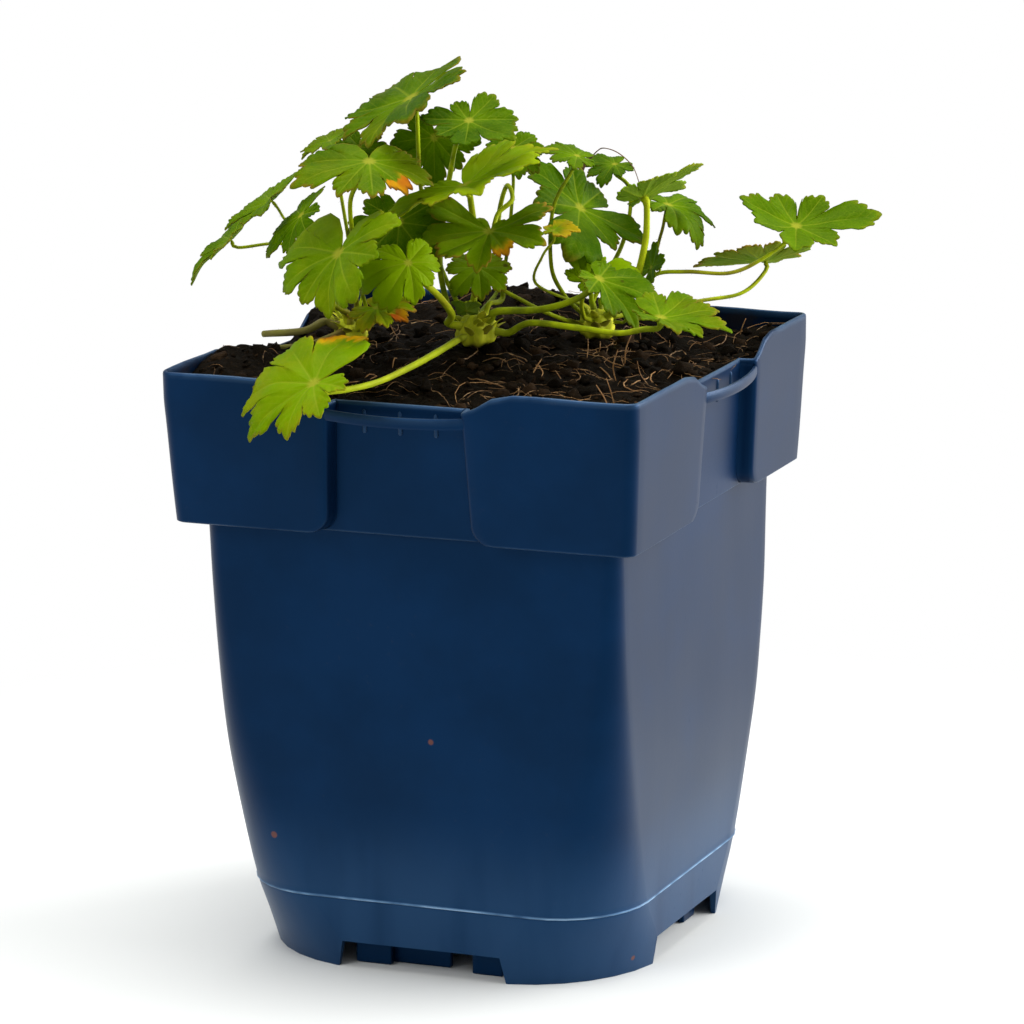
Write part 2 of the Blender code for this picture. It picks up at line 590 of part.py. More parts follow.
def blade_outline(leaf):
    """Angle, radius and tilt round the lobes, from one side of the stalk's notch to the other."""
    length, _, _, lobes = leaf["size"]
    step = LOBE_ANGLES[lobes] * leaf["spread"]
    last = lobes // 2
    points = []
    for lobe in range(-last, last + 1):
        reach = length * MM * LOBE_LENGTHS[lobes][abs(lobe)] * leaf["reach"][lobe + last]
        for side, share in LOBE_EDGE:
            points.append((math.radians(step * (lobe + side / 2)), reach * share, leaf["tilt"][lobe + last]))
    end = min(math.radians(step * (last + 0.5)), math.pi - NOTCH_HALF)
    points.append((end, reach * LOBE_EDGE[0][1], leaf["tilt"][-1]))
    points.append((math.pi, 0.12 * length * MM, 0.0))
    return points


def make_blade(name, leaf, parts, mat):
    """A disc of two rings pulled out to the lobes, then thickened."""
    outline = blade_outline(leaf)
    bm = bmesh.new()
    rings = []
    for size in (0.5, 1.0):
        made = bmesh.ops.create_circle(bm, cap_ends=size < 1, cap_tris=True,
                                       segments=len(outline), radius=size)
        rings.append([v for v in made["verts"] if v.co.length > 0.1])
    open_edges = [e for e in bm.edges if len(e.link_faces) < 2]
    bmesh.ops.bridge_loops(bm, edges=open_edges)
    for v in bm.verts:
        if v.co.length < 0.1:
            v.co = Vector(leaf["blade"]) * MM
    for ring, share in zip(rings, (0.45, 1.0)):
        ring.sort(key=lambda v: math.atan2(v.co.y, v.co.x) % (2 * math.pi))
        for v, (angle, radius, tilt) in zip(ring, outline):
            v.co = blade_point(radius * share, angle, leaf, tilt)
    bmesh.ops.recalc_face_normals(bm, faces=bm.faces[:])
    blade = mesh_object(name, bm, parts, mat)
    solid = blade.modifiers.new("thickness", "SOLIDIFY")
    solid.thickness = BLADE_THICK
    solid.offset = 0.0
    return blade


def smooth_route(points, spacing):
    """Points about one spacing apart on a Catmull-Rom curve through the given points."""
    ends = [2 * points[0] - points[1], *points, 2 * points[-1] - points[-2]]
    fine = []
    for a, b, c, d in zip(ends, ends[1:], ends[2:], ends[3:]):
        count = max(1, round((c - b).length / spacing))
        for i in range(count):
            t = i / count
            fine.append(0.5 * (2 * b + (c - a) * t + (2 * a - 5 * b + 4 * c - d) * t * t
                               + (3 * b - a - 3 * c + d) * t ** 3))
    return fine + [points[-1]]


def stalk_start(crown, heading, rise, radius):
    """Two points: just clear of the crown's skin, and a little further out."""
    centre, across, height = crown_centre(crown)
    heading, rise = math.radians(heading), math.radians(rise)
    out = direction(heading, rise)
    skin = centre + Vector((out.x * across, out.y * across, out.z * height))
    start = skin + out * (2 * GAP + 0.5 * radius * MM)
    return [start, start + out * STALK_LEAD]


def stalk_end(leaf):
    """Two points leading up to the underside of the blade."""
    up = blade_axes(leaf["turn"])[2]
    radius = leaf["stalk"][3] * MM * STALK_TAPER
    end = Vector(leaf["blade"]) * MM - up * (BLADE_THICK / 2 + GAP + 0.12 * radius)
    return [end - up * STALK_LEAD, end]


def make_stalk(name, points, radius, parts, mat):
    route = smooth_route(points, STALK_SPACING)
    curve = bpy.data.curves.new(name, "CURVE")
    curve.dimensions = "3D"
    curve.bevel_depth = radius
    curve.bevel_resolution = 1
    curve.use_fill_caps = True
    line = curve.splines.new("POLY")
    line.points.add(len(route) - 1)
    for i, (point, where) in enumerate(zip(line.points, route)):
        point.co = (*where, 1.0)
        point.radius = 1.0 + (STALK_TAPER - 1.0) * i / (len(route) - 1)
    curve.materials.append(mat)
    stalk = bpy.data.objects.new(name, curve)
    parts.objects.link(stalk)
    return stalk


def make_plant(parts):
    crown_green = material("crown", (0.22, 0.25, 0.03), 0.6)
    stalk_green = material("leaf_stalk", (0.20, 0.30, 0.02), 0.55)
    leaf_green = material("leaf_blade", (0.085, 0.22, 0.008), 0.5)
    yellow = material("yellowed_leaf", (0.55, 0.38, 0.02), 0.6)
    for name in CROWNS:
        make_crown(name, parts, crown_green)
    for name, leaf in LEAVES.items():
        make_blade("leaf_" + name, leaf, parts, yellow if name == "yellowed" else leaf_green)
        if leaf["stalk"]:
            via = [Vector(p) * MM for p in leaf["via"]]
            points = stalk_start(*leaf["stalk"]) + via + stalk_end(leaf)
            make_stalk("stalk_" + name, points, leaf["stalk"][3] * MM, parts, stalk_green)
    for name, (start, via) in OLD_STALKS.items():
        points = stalk_start(*start) + [Vector(p) * MM for p in via]
        make_stalk(name, points, start[3] * MM, parts, stalk_green)


def main():
    clear_scene()
    parts = collection("potted_hardy_geranium")
    cutters = collection("cutters")
    make_pot(parts, cutters)
    make_soil(parts)
    make_plant(parts)


main()
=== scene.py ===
"""A hardy geranium in a square nursery pot, finished over its CAD frame.

Each operator builds the pieces that stand for a group of CAD nodes: the moulded pot, the peat with its
crumbs and coir fibres, the crowns, the leaf stalks, the leaf blades and the withered bits. Sizes are in
metres unless a table says millimetres. The front face of the pot looks along -Y, the right face along +X.
"""

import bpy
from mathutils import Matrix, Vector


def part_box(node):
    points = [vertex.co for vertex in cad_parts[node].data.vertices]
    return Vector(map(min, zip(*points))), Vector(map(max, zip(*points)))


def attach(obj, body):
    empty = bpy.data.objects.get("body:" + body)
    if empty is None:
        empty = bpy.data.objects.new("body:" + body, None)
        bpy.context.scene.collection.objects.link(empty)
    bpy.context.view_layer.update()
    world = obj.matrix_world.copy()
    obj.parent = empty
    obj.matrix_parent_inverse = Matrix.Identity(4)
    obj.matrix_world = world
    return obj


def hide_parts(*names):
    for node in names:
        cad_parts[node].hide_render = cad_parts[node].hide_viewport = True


bl_info = {
    "name": "Potted hardy geranium",
    "version": (1, 0, 0),
    "blender": (4, 5, 0),
    "location": "3D View > Sidebar > Geranium",
    "description": "Builds a hardy geranium in a square nursery pot over its CAD frame",
    "category": "Add Mesh",
}

import math
import random

import bmesh
import bpy
from bpy.props import FloatProperty, FloatVectorProperty, IntProperty, PointerProperty
from mathutils import Matrix, Vector, kdtree, noise

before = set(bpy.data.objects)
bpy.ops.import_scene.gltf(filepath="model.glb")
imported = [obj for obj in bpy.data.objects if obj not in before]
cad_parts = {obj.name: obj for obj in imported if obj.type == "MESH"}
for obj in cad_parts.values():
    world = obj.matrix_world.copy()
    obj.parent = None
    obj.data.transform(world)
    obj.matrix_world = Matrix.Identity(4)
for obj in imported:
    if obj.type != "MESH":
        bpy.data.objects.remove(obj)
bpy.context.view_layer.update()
MM = 0.001

# ---------------------------------------------------------------- sizes

POT_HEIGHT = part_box("pot")[1].z
RIM_HALF = 65 * MM
RIM_CORNER = 3.2 * MM
RIM_SHOULDER = 149 * MM
COLLAR_BOTTOM = 117.5 * MM
COLLAR_BOTTOM_HALF = 63 * MM
WALL = 1.2 * MM
FLOOR_UNDER = 7.5 * MM
FLOOR_TOP = 9 * MM
MOULD_LINE = 18.8 * MM
# Body of the pot: height, half width, corner radius
BODY_SECTIONS = (
    (0 * MM, 53.3 * MM, 36 * MM),
    (9 * MM, 53.6 * MM, 30 * MM),
    (19 * MM, 54.0 * MM, 23 * MM),
    (39 * MM, 55.2 * MM, 16 * MM),
    (63 * MM, 56.3 * MM, 10 * MM),
    (88 * MM, 56.7 * MM, 6 * MM),
    (117.5 * MM, 57.0 * MM, 4 * MM),
)
BODY_STEP = 3.6 * MM  # from ring to ring up the body
RECESS_DEPTH = 4.1 * MM
RECESS_HALF_TOP = 18.2 * MM
RECESS_HALF_BOTTOM = 20 * MM
# How far each face's recess stands off the middle, from the front face round to the left one
RECESS_SLIDE = (0.0, 4.5 * MM, 0.0, 0.0)
# Bead of the mould line in mm: rise from the line, how proud it stands, wear
MOULD_BEAD = ((-0.34, -0.10, 0.0), (-0.24, 0.10, 0.5), (-0.09, 0.30, 1.0), (0.10, 0.34, 1.0),
              (0.26, 0.20, 0.6), (0.5, 0.06, 0.0))
# Rings of the collar, in mm over its lower edge
COLLAR_RISES = (0.25, 0.6, 1.1, 1.8, 2.6, 3.5, 4.5, 6, 8.5, 11.5, 15, 19, 23, 27, 30, 32.5, 34.5, 36.3,
                37.8, 38.7)
# Rounding of the rim in mm: inset from the outer face, drop from the top, wear
RIM_BEAD = ((0.12, 0.35, 0.12), (0.4, 0.08, 0.3), (0.7, 0.0, 0.25), (1.0, 0.12, 0.2), (1.18, 0.4, 0.1))
PANEL_CORNER = 5 * MM
RIM_DIP = 5 * MM
DIP_END = 30 * MM
# Distance past the recess's edge in mm, share of the recess's depth there
RECESS_EDGE = ((-1.3, 1.0), (-1.05, 1.07), (-0.8, 1.07), (-0.6, 0.95), (-0.45, 0.62), (-0.3, 0.3),
               (-0.1, 0.12), (0.25, 0.035), (0.8, 0.0))
STRAP_TOP = 150.3 * MM
STRAP_HEIGHT = 2.8 * MM
STRAP_THICK = 1.2 * MM
STRAP_BOW = 2.4 * MM
# Rounded section of the strap: shares of its thickness, inward, and of its height, upward
STRAP_PROFILE = ((0.0, 0.25), (0.25, 0.0), (0.75, 0.0), (1.0, 0.2), (1.0, 0.8), (0.75, 1.0), (0.25, 1.0),
                 (0.0, 0.75))
RIB_SPACING = 9.8 * MM
# Foot blocks in mm: from, to along the side, distance of the outer face from the axis
FOOT_BLOCKS = ((-20.5, -10.5, 48.5), (-11.5, 5.0, 45.5), (12.0, 20.5, 48.0))

# Angles, in degrees, from which an edge is left sharp
POT_SHARP = 38
STRAP_SHARP = 50

SOIL_LEVEL = 149.5 * MM
# Heaps of the peat: place across and back, rise, spread
SOIL_HILLS = (
    (-2 * MM, -2 * MM, 6.5 * MM, 26 * MM),
    (-20 * MM, 52 * MM, 9 * MM, 17 * MM),
    (8 * MM, 54 * MM, 6 * MM, 14 * MM),
    (28 * MM, 56 * MM, 6 * MM, 7 * MM),
    (-48 * MM, 8 * MM, 2.5 * MM, 13 * MM),
    (-62 * MM, 30 * MM, 7 * MM, 15 * MM),
    (60 * MM, 60 * MM, 4 * MM, 11 * MM),
    (-57 * MM, -34 * MM, 7.5 * MM, 15 * MM),
)
SOIL_HALF = RIM_HALF - WALL - 0.4 * MM
# Sides of the peat below its surface: height, half width
PEAT_LEVELS = (
    (COLLAR_BOTTOM + WALL + 0.3 * MM, COLLAR_BOTTOM_HALF - WALL - 0.5 * MM),
    (COLLAR_BOTTOM - WALL, BODY_SECTIONS[-1][1] - 2 * WALL),
    (60 * MM, 53 * MM),
    (30 * MM, 49 * MM),
    (FLOOR_TOP + 0.3 * MM, 43 * MM),
)
PEAT_CELLS = 150
STUB_EVERY = 14  # one fibre in this many stands up
# Left of this line, in the shade of the plant, this share of the fibres is left out
FIBRE_EDGE = 12 * MM
FIBRE_THINNING = 0.6
RECESS_CLEAR = 4.3 * MM  # how far the peat draws back from the side walls at a recess

# Degrees between lobes and their lengths from the middle one out, by the number of lobes
LOBE_ANGLES = {7: 42, 5: 60}
LOBE_LENGTHS = {7: (1.0, 0.99, 0.95, 0.80), 5: (1.0, 0.95, 0.80)}
# Half of a lobe's edge: share of the way from its midrib to the next notch, share of its length
LOBE_EDGE = ((0.0, 1.02), (0.06, 1.01), (0.13, 0.99), (0.20, 0.955), (0.27, 0.905), (0.32, 0.862),
             (0.37, 0.885), (0.44, 0.925), (0.52, 0.942), (0.59, 0.925), (0.65, 0.885), (0.71, 0.83),
             (0.76, 0.835), (0.82, 0.845), (0.88, 0.815), (0.93, 0.75), (0.96, 0.65), (0.975, 0.54))
NOTCH = 0.47  # share of the shorter lobe where the two beside it part
# Edge from the last lobe to the stalk's notch: degrees from the middle lobe, share of the blade's length
BASAL_EDGE = {7: ((147, 0.62), (154, 0.60), (161, 0.52), (167, 0.38), (172, 0.22), (176, 0.12)),
              5: ((150, 0.60), (156, 0.58), (162, 0.50), (168, 0.36), (173, 0.20), (177, 0.11))}
BLADE_RINGS = 12
BLADE_THICK = 0.32 * MM
# Relief of a blade, as shares of its length: cupping between midribs, quilting between side veins,
# fall of the rim, broad waves, frill of the edge
LOBE_CUP = 0.22
QUILTING = 0.014
RIM_FALL = 0.07
BROAD_WAVE = 0.055
EDGE_FRILL = 0.018
# Side veins, as shares of the blade's length: how far they slant back, and their spacing
VEIN_SLANT = 1.25
VEIN_STEP = 0.15

# Leaves. blade: the point where the stalk joins, in mm. turn: heading, pitch and roll of the middle
# lobe in degrees. size: middle lobe in mm, droop and fold in degrees, lobes. spread: share of the usual
# angle between lobes. reach and tilt: each lobe's share of its usual length, and its bend out of the
# blade, from the right-hand basal lobe round. stalk: crown, heading and rise of its start in degrees,
# radius in mm. via: points it passes, in mm. teeth: depth of the teeth. open: size of the basal lobes'
# inner edge. burnt: lobe whose tip has withered. tone: light, yellow, red.
# A blade's light tone is partly its age and partly painted light: it is raised on blades that lie in the
# shade of others or show a sheen
LEAVES = {
    "top_left": {
        "blade": (-20, -4, 220.5), "turn": (208, -29, -2), "size": (26, 2, 4, 7), "spread": 0.98,
        "reach": (1.19, 1.12, 0.84, 0.79, 0.84, 1.2, 1.12),
        "tilt": (-0.07, 0.02, 0.07, 0.06, -0.18, 0.11, 0.07),
        "stalk": ("crown_middle", 165, 45, 0.9),
        "via": ((-15.5, 1, 178), (-18.5, -2, 196.5), (-18.5, -4, 206.5)),
        "tone": (0, 0.1, 0.2),
    },
    "top": {
        "blade": (3, -20.5, 218), "turn": (287, -28, 0), "size": (14, -18, -5, 7), "spread": 1.18,
        "reach": (0.72, 0.95, 0.76, 0.97, 1.18, 0.93, 1.03),
        "tilt": (0.14, -0.09, -0.04, 0.07, 0.13, -0.12, 0.06),
        "stalk": ("crown_middle", 185, 30, 1.1),
        "via": ((-12, -5, 176), (-12, -2.5, 189), (-9, -5.5, 201), (-3, -13.5, 212)),
        "tone": (0, 0, 0),
    },
    "upper_left_back": {
        "blade": (-42, -7, 208.5), "turn": (210, -22, 1), "size": (10.5, 14, 9, 7), "spread": 1.06,
        "reach": (1.15, 0.99, 0.96, 0.82, 0.78, 1, 0.96),
        "tilt": (0.04, 0.05, 0.04, -0.02, 0.05, 0.01, 0.02),
        "stalk": ("crown_left", 60, 75, 0.8), "via": ((-39.5, -2, 181.5), (-40.5, -6, 199.5)),
        "tone": (0.2, 0.1, 0.1),
    },
    "upper_left": {
        "blade": (-19, -34, 208.5), "turn": (297, -21, -1), "size": (18.5, 9, -7, 7), "spread": 0.88,
        "reach": (1.3, 1.2, 0.81, 0.85, 0.81, 0.96, 1), "tilt": (0.01, 0.14, -0.1, 0.02, -0.02, -0.01, 0),
        "stalk": ("crown_left", 320, 65, 1), "via": ((-29.5, -21, 180.5), (-26, -30, 197.5)),
        "teeth": 0.7, "burnt": (1, 0.5), "tone": (0.15, 0.1, 0.4),
    },
    "far_left_high": {
        "blade": (-54.5, -17, 194), "turn": (202, -36, -1), "size": (14, -6, 3, 7), "spread": 0.94,
        "reach": (1.28, 1.02, 1.03, 1.02, 0.81, 1.06, 0.91),
        "tilt": (0.01, 0.03, 0.09, 0.15, -0.09, -0.02, 0.1),
        "stalk": ("crown_left", 190, 55, 0.7),
        "via": ((-44.5, -6, 169), (-49.5, -6, 181), (-53, -11.5, 187.5)),
        "tone": (0.25, 0, 0.1),
    },
    "far_left_low": {
        "blade": (-73.5, -2, 180), "turn": (209, -40, 4), "size": (13.5, 3, 9, 7), "spread": 0.95,
        "reach": (1.08, 1.04, 0.87, 1.19, 0.69, 1, 0.88),
        "tilt": (0.06, -0.02, 0.12, 0.03, -0.03, 0.01, 0.09),
        "stalk": ("crown_left", 150, 50, 0.8), "via": ((-46, 4, 170), (-53, 4, 177), (-62, 2, 179)),
        "teeth": 0.6, "tone": (0.2, 0.1, 0.1),
    },
    "left_back": {
        "blade": (-43.5, -22.5, 191.5), "turn": (204, -44, -10), "size": (13, 10, 0, 7), "spread": 1,
        "reach": (1.2, 1, 0.9, 1.12, 0.92, 1, 0.8), "tilt": (-0.01, 0, 0.1, 0.09, -0.11, -0.01, 0.03),
        "stalk": ("crown_left", 255, 70, 0.8), "via": ((-41, -13, 178),),
        "teeth": 0.8, "tone": (0.1, 0, 0),
    },
    "left": {
        "blade": (-21.5, -48, 187), "turn": (268, -40, 24), "size": (21.5, 24, 12, 7), "spread": 0.85,
        "reach": (1.57, 1.04, 0.78, 0.86, 1.05, 0.87, 1.2),
        "tilt": (0.13, 0.02, -0.1, -0.08, 0.12, -0.03, 0.03),
        "stalk": ("crown_left", 290, 45, 1.1), "via": ((-31.5, -34, 173),),
        "teeth": 0.35, "tone": (0.35, 0.1, 0),
    },
    "middle_left": {
        "blade": (-8.5, -34.5, 183), "turn": (315, -51, 4), "size": (12, 35, 1, 7), "spread": 1.04,
        "reach": (0.91, 1.48, 1.25, 0.94, 0.74, 0.87, 1.04),
        "tilt": (0.02, -0.11, -0.01, -0.05, -0.1, -0.01, 0.05),
        "stalk": ("crown_middle", 222, 18, 1.3), "via": ((-5.5, -14, 166.5), (-5.5, -24, 173.5)),
        "tone": (0.9, 0, 0.1),
    },
    "over_rim": {
        "blade": (-16.5, -76, 159), "turn": (206, -26, -20), "size": (21, 29, 13, 7), "spread": 0.99,
        "reach": (1.51, 1.21, 1.33, 1.07, 0.87, 0.76, 0.7),
        "tilt": (0.04, 0.15, 0.09, 0.07, -0.2, -0.12, 0.05),
        "stalk": ("crown_middle", 248, -12, 1.2),
        "via": ((-5.5, -26.5, 158), (-7, -51.5, 156.5), (-10.5, -67, 156.5)),
        "teeth": 0.8, "burnt": (-3, 0.6), "tone": (0.65, 0.2, 0.2),
    },
    "low_left": {
        "blade": (-18, -33.5, 170.5), "turn": (347, -6, 13), "size": (11, 13, 2, 7), "spread": 0.89,
        "reach": (0.94, 1.01, 0.92, 0.93, 0.96, 1.11, 1.01),
        "tilt": (0.05, -0.08, -0.01, 0.01, 0.02, 0.06, 0),
        "stalk": ("crown_left", 320, 15, 1), "via": ((-24.5, -24.5, 163.5),),
        "burnt": (0, 0.45), "tone": (0.8, 0.6, 0.9),
    },
    "upper_middle": {
        "blade": (1, -19, 201), "turn": (304, 1, 20), "size": (22, -3, 7, 7), "spread": 1.03,
        "reach": (0.63, 1.09, 0.79, 0.93, 1.14, 1.22, 1.26),
        "tilt": (0.09, -0.14, 0.01, 0.1, 0.06, -0.08, 0.13),
        "stalk": ("crown_middle", 125, 60, 1.2),
        "via": ((-4.5, 3.5, 176), (-5.5, 2, 187), (-5, -2, 197), (-2, -10.5, 200)),
        "tone": (0.85, 0.15, 0.1),
    },
    "upper_middle_back": {
        "blade": (19, 13.5, 204.5), "turn": (213, 13, -12), "size": (10, 9, 2, 7), "spread": 0.91,
        "reach": (1.03, 1.2, 1, 0.97, 0.95, 0.95, 0.85), "tilt": (-0.03, 0.04, 0, 0.1, 0, 0.03, 0.04),
        "stalk": ("crown_right", 205, 40, 0.9),
        "via": ((12, 20.5, 166.5), (10.5, 15.5, 175), (13, 12, 191)),
        "tone": (0.1, 0, 0),
    },
    "middle": {
        "blade": (4.5, -11.5, 188), "turn": (276, -29, 2), "size": (18, 2, 10, 7), "spread": 0.88,
        "reach": (1.3, 1.16, 0.96, 0.83, 0.72, 1.01, 1.19),
        "tilt": (0.15, -0.09, 0.18, -0.07, -0.01, -0.15, 0.12),
        "stalk": ("crown_middle", 75, 50, 1),
        "via": ((-0.5, 9.5, 167), (-1, 7, 180), (0.5, 4.5, 190), (4.5, 1, 198), (7.5, -2.5, 195),
                (4.5, -5.5, 191.5)),
        "burnt": (1, 0.55), "open": 0.4, "tone": (0.35, 0.1, 0.7),
    },
    "low_middle": {
        "blade": (-2.5, -2.5, 176.5), "turn": (299, -31, -1), "size": (10.5, 27, 11, 7), "spread": 1.04,
        "reach": (1, 0.89, 1.13, 0.96, 0.98, 0.92, 1),
        "tilt": (0.01, 0.07, -0.05, -0.01, -0.05, 0.05, 0.01),
        "stalk": ("crown_right", 225, 10, 0.9), "via": ((9, 12.5, 163.5), (2.5, 4, 169.5)),
        "tone": (0.45, 0.1, 0.4),
    },
    "young": {
        "blade": (-2.5, -11, 166.8), "turn": (285, 42, 0), "size": (5, 10, 25, 5), "spread": 1.1,
        "reach": (1, 1, 1, 1, 1), "tilt": (0, 0, 0, 0, 0),
        "stalk": None, "via": (),
        "tone": (0.5, 0, 0),
    },
    "middle_right": {
        "blade": (13.5, 29, 188), "turn": (246, 13, -43), "size": (18.5, -4, 7, 7), "spread": 1.18,
        "reach": (0.96, 0.75, 0.97, 0.9, 1.49, 0.92, 1.33),
        "tilt": (-0.13, 0.17, -0.17, -0.01, 0.12, -0.01, 0.09),
        "stalk": ("crown_right", 150, 70, 1), "via": ((15, 31, 177),),
        "open": 0.5, "tone": (0, 0, 0.1),
    },
    "upper_right_back": {
        "blade": (17.5, 44.5, 197.5), "turn": (228, -9, -14), "size": (9, 13, 4, 7), "spread": 0.89,
        "reach": (0.99, 1.11, 1.08, 0.97, 1.07, 0.82, 0.88),
        "tilt": (-0.13, 0.08, 0.2, -0.04, -0.11, 0, 0.07),
        "stalk": ("crown_right", 125, 40, 0.9), "via": ((20.5, 41, 176.5), (21.5, 44.5, 190.5)),
        "tone": (0, 0, 0.1),
    },
    "right_folded": {
        "blade": (32.5, 26, 192.5), "turn": (29, 22, -26), "size": (15, -9, 2, 7), "spread": 0.91,
        "reach": (0.96, 0.91, 0.87, 1.18, 0.98, 0.6, 0.6), "tilt": (0.09, -0.03, -0.02, 0.11, 0, 0, 0),
        "stalk": ("crown_right", 340, 40, 1.3), "via": ((30, 23, 166), (33.5, 25.5, 181)),
        "tone": (1, 0, 0.1),
    },
    "right_drooping": {
        "blade": (33, 43, 187.5), "turn": (16, -17, 4), "size": (15.5, 39, 12, 7), "spread": 0.85,
        "reach": (0.9, 1.14, 1.14, 0.84, 1.08, 0.97, 1.08),
        "tilt": (0.1, 0.11, -0.14, -0.11, 0.08, 0.21, -0.07),
        "stalk": ("crown_right", 85, 65, 0.8), "via": ((29, 38, 172), (31.5, 41, 180)),
        "tone": (0.1, 0, 0),
    },
    "right_small": {
        "blade": (34, 28, 173.5), "turn": (30, 64, 13), "size": (7, -12, 1, 5), "spread": 0.98,
        "reach": (1.11, 1.07, 1.01, 0.92, 0.92), "tilt": (0.03, 0, 0.24, 0.05, 0.05),
        "stalk": ("crown_right", 5, 10, 0.7), "via": ((29, 27.5, 166),),
        "tone": (0.05, 0, 0),
    },
    "far_right": {
        "blade": (63.5, 58.5, 181), "turn": (287, -22, -10), "size": (17, -26, 7, 7), "spread": 1.19,
        "reach": (0.93, 1.01, 0.96, 0.96, 0.8, 1.34, 0.98),
        "tilt": (-0.05, 0.02, 0.16, 0.03, -0.14, -0.06, 0.14),
        "stalk": ("crown_right", 30, 35, 0.9),
        "via": ((31.5, 34.5, 170), (39.5, 38.5, 171), (49.5, 45.5, 170), (56.5, 52.5, 173)),
        "tone": (0.2, 0, 0),
    },
    "far_right_low": {
        "blade": (47.5, 78.5, 167.5), "turn": (312, 22, -3), "size": (15.5, -23, 1, 7), "spread": 1.06,
        "reach": (1.57, 0.99, 0.87, 0.76, 0.9, 0.72, 0.71),
        "tilt": (-0.06, -0.02, -0.02, 0.19, -0.08, -0.02, 0),
        "stalk": ("crown_right", 68, 8, 0.9), "via": ((35, 59.5, 159), (44, 70, 160)),
        "tone": (0.5, 0.2, 0.6),
    },
    "low_right_folded": {
        "blade": (22.5, 9.5, 172.5), "turn": (42, 15, 33), "size": (11, 1, 5, 7), "spread": 0.96,
        "reach": (0.5, 0.5, 0.55, 1.42, 0.93, 1.03, 0.7), "tilt": (0, 0, -0.01, -0.03, 0.07, 0.03, 0.02),
        "stalk": ("crown_right", 262, 25, 0.9), "via": ((20, 13.5, 165.5),),
        "tone": (1, 0, 0),
    },
    "low_right": {
        "blade": (30, 0, 175), "turn": (350, -32, 2), "size": (17, 16, 9, 7), "spread": 0.85,
        "reach": (0.55, 0.65, 0.91, 0.99, 1.06, 1.24, 0.7),
        "tilt": (0, 0.02, 0.01, -0.11, 0.18, 0.05, 0.01),
        "stalk": ("crown_middle", 347, 42, 1.3), "via": ((14.5, -1.5, 166.5), (24, -1, 169.5)),
        "tone": (0.12, 0, 0),
    },
    "front_right": {
        "blade": (52, -13, 168.5), "turn": (16, -12, 6), "size": (17.5, -5, 8, 7), "spread": 0.85,
        "reach": (0.95, 1.09, 0.83, 1.05, 0.99, 1.07, 0.98),
        "tilt": (0.09, 0.05, -0.1, 0.09, 0.09, 0.02, 0.01),
        "stalk": ("crown_middle", 5, -2, 1.2),
        "via": ((13, -5.5, 163.5), (28, -10, 164), (40.5, -13.5, 164), (47.5, -14, 165.5)),
        "tone": (0.2, 0.1, 0.2),
    },
    "yellowed": {
        "blade": (17.5, 0, 187), "turn": (19, 3, 10), "size": (7.5, 5, 7, 5), "spread": 1.01,
        "reach": (0.6, 1, 0.93, 1.01, 0.6), "tilt": (0, 0.01, 0.03, 0.04, 0.01),
        "stalk": ("crown_right", 235, 50, 0.7), "via": ((9.5, 7.5, 171.5), (14, 1, 180)),
        "tone": (0.6, 1, 0.5),
    },
}

# Leaves behind the others, beyond the CAD's nodes, with the same keys
REAR_LEAVES = {
    "rear_top": {
        "blade": (-17.5, 5, 209), "turn": (285, -72, 5), "size": (12.5, 8, 4, 7), "spread": 1.0,
        "reach": (0.9, 1.05, 0.95, 1.05, 0.9, 1.05, 0.9), "tilt": (0.05, -0.1, 0.08, -0.05, 0.1, 0, 0.05),
        "stalk": ("crown_middle", 140, 20, 0.8), "via": ((-19, 13, 172), (-22, 13, 192)),
        "tone": (0, 0, 0.1),
    },
    "rear_middle": {
        "blade": (3, 9, 206.5), "turn": (305, -45, -6), "size": (9.5, 6, 6, 7), "spread": 0.98,
        "reach": (1.0, 0.9, 1.05, 1.0, 1.0, 0.95, 1.05), "tilt": (0, 0.08, -0.05, 0.1, -0.08, 0.06, 0),
        "stalk": ("crown_middle", 105, 25, 0.8), "via": ((-3, 14, 170), (0, 16, 193)),
        "tone": (0, 0, 0.1),
    },
    "rear_left": {
        "blade": (-21, -11, 189), "turn": (282, -60, 3), "size": (15, 12, 5, 7), "spread": 0.96,
        "reach": (1.0, 1.05, 0.95, 1.0, 1.05, 0.95, 1.05), "tilt": (0.05, -0.06, 0.08, 0, -0.06, 0.1, 0),
        "stalk": ("crown_left", 20, 60, 0.8), "via": ((-35, -4, 172), (-27, -7, 180)),
        "tone": (0, 0, 0.1),
    },
    "rear_upper_left": {
        "blade": (-37.5, 1.5, 206), "turn": (262, -48, 4), "size": (10, 8, 5, 7), "spread": 1.0,
        "reach": (0.9, 1.0, 1.05, 0.95, 1.0, 1.05, 0.9), "tilt": (0, 0.06, -0.06, 0.05, 0, -0.06, 0.06),
        "stalk": ("crown_left", 95, 35, 0.7), "via": ((-40, 11, 172), (-38, 11, 194)),
        "tone": (0, 0, 0.4),
    },
}

# Old stalks: crown, heading and rise of the start, radius, then the points passed
OLD_STALKS = {
    "old_long": (("crown_left", 215, 20, 1.3), ((-49.5, -10, 158.5), (-62, -8, 156.5))),
    "old_short": (("crown_left", 255, -5, 1.2), ((-47, -13, 155.5), (-55, -19, 155))),
}
# Dried threads: radius at the start and end, then the points passed, in mm
THREADS = (
    ((0.16, 0.12), ((12.5, 40.8, 200), (14.1, 40.4, 201.6), (16.5, 39.2, 202.7), (21.4, 36.9, 202),
                    (27.1, 32.8, 199.2), (31.6, 27, 194.5))),
    ((0.75, 0.3), ((9.2, 39.5, 195), (10.7, 40.1, 198), (12.8, 40.8, 200.4))),
)
STALK_TAPER = 0.8
STALK_LEAD = 2.5 * MM
STALK_SIDES = 12
HAIR_HALF = 0.035  # half width of a hair at its foot, in mm
CROWN_SCALES = 16

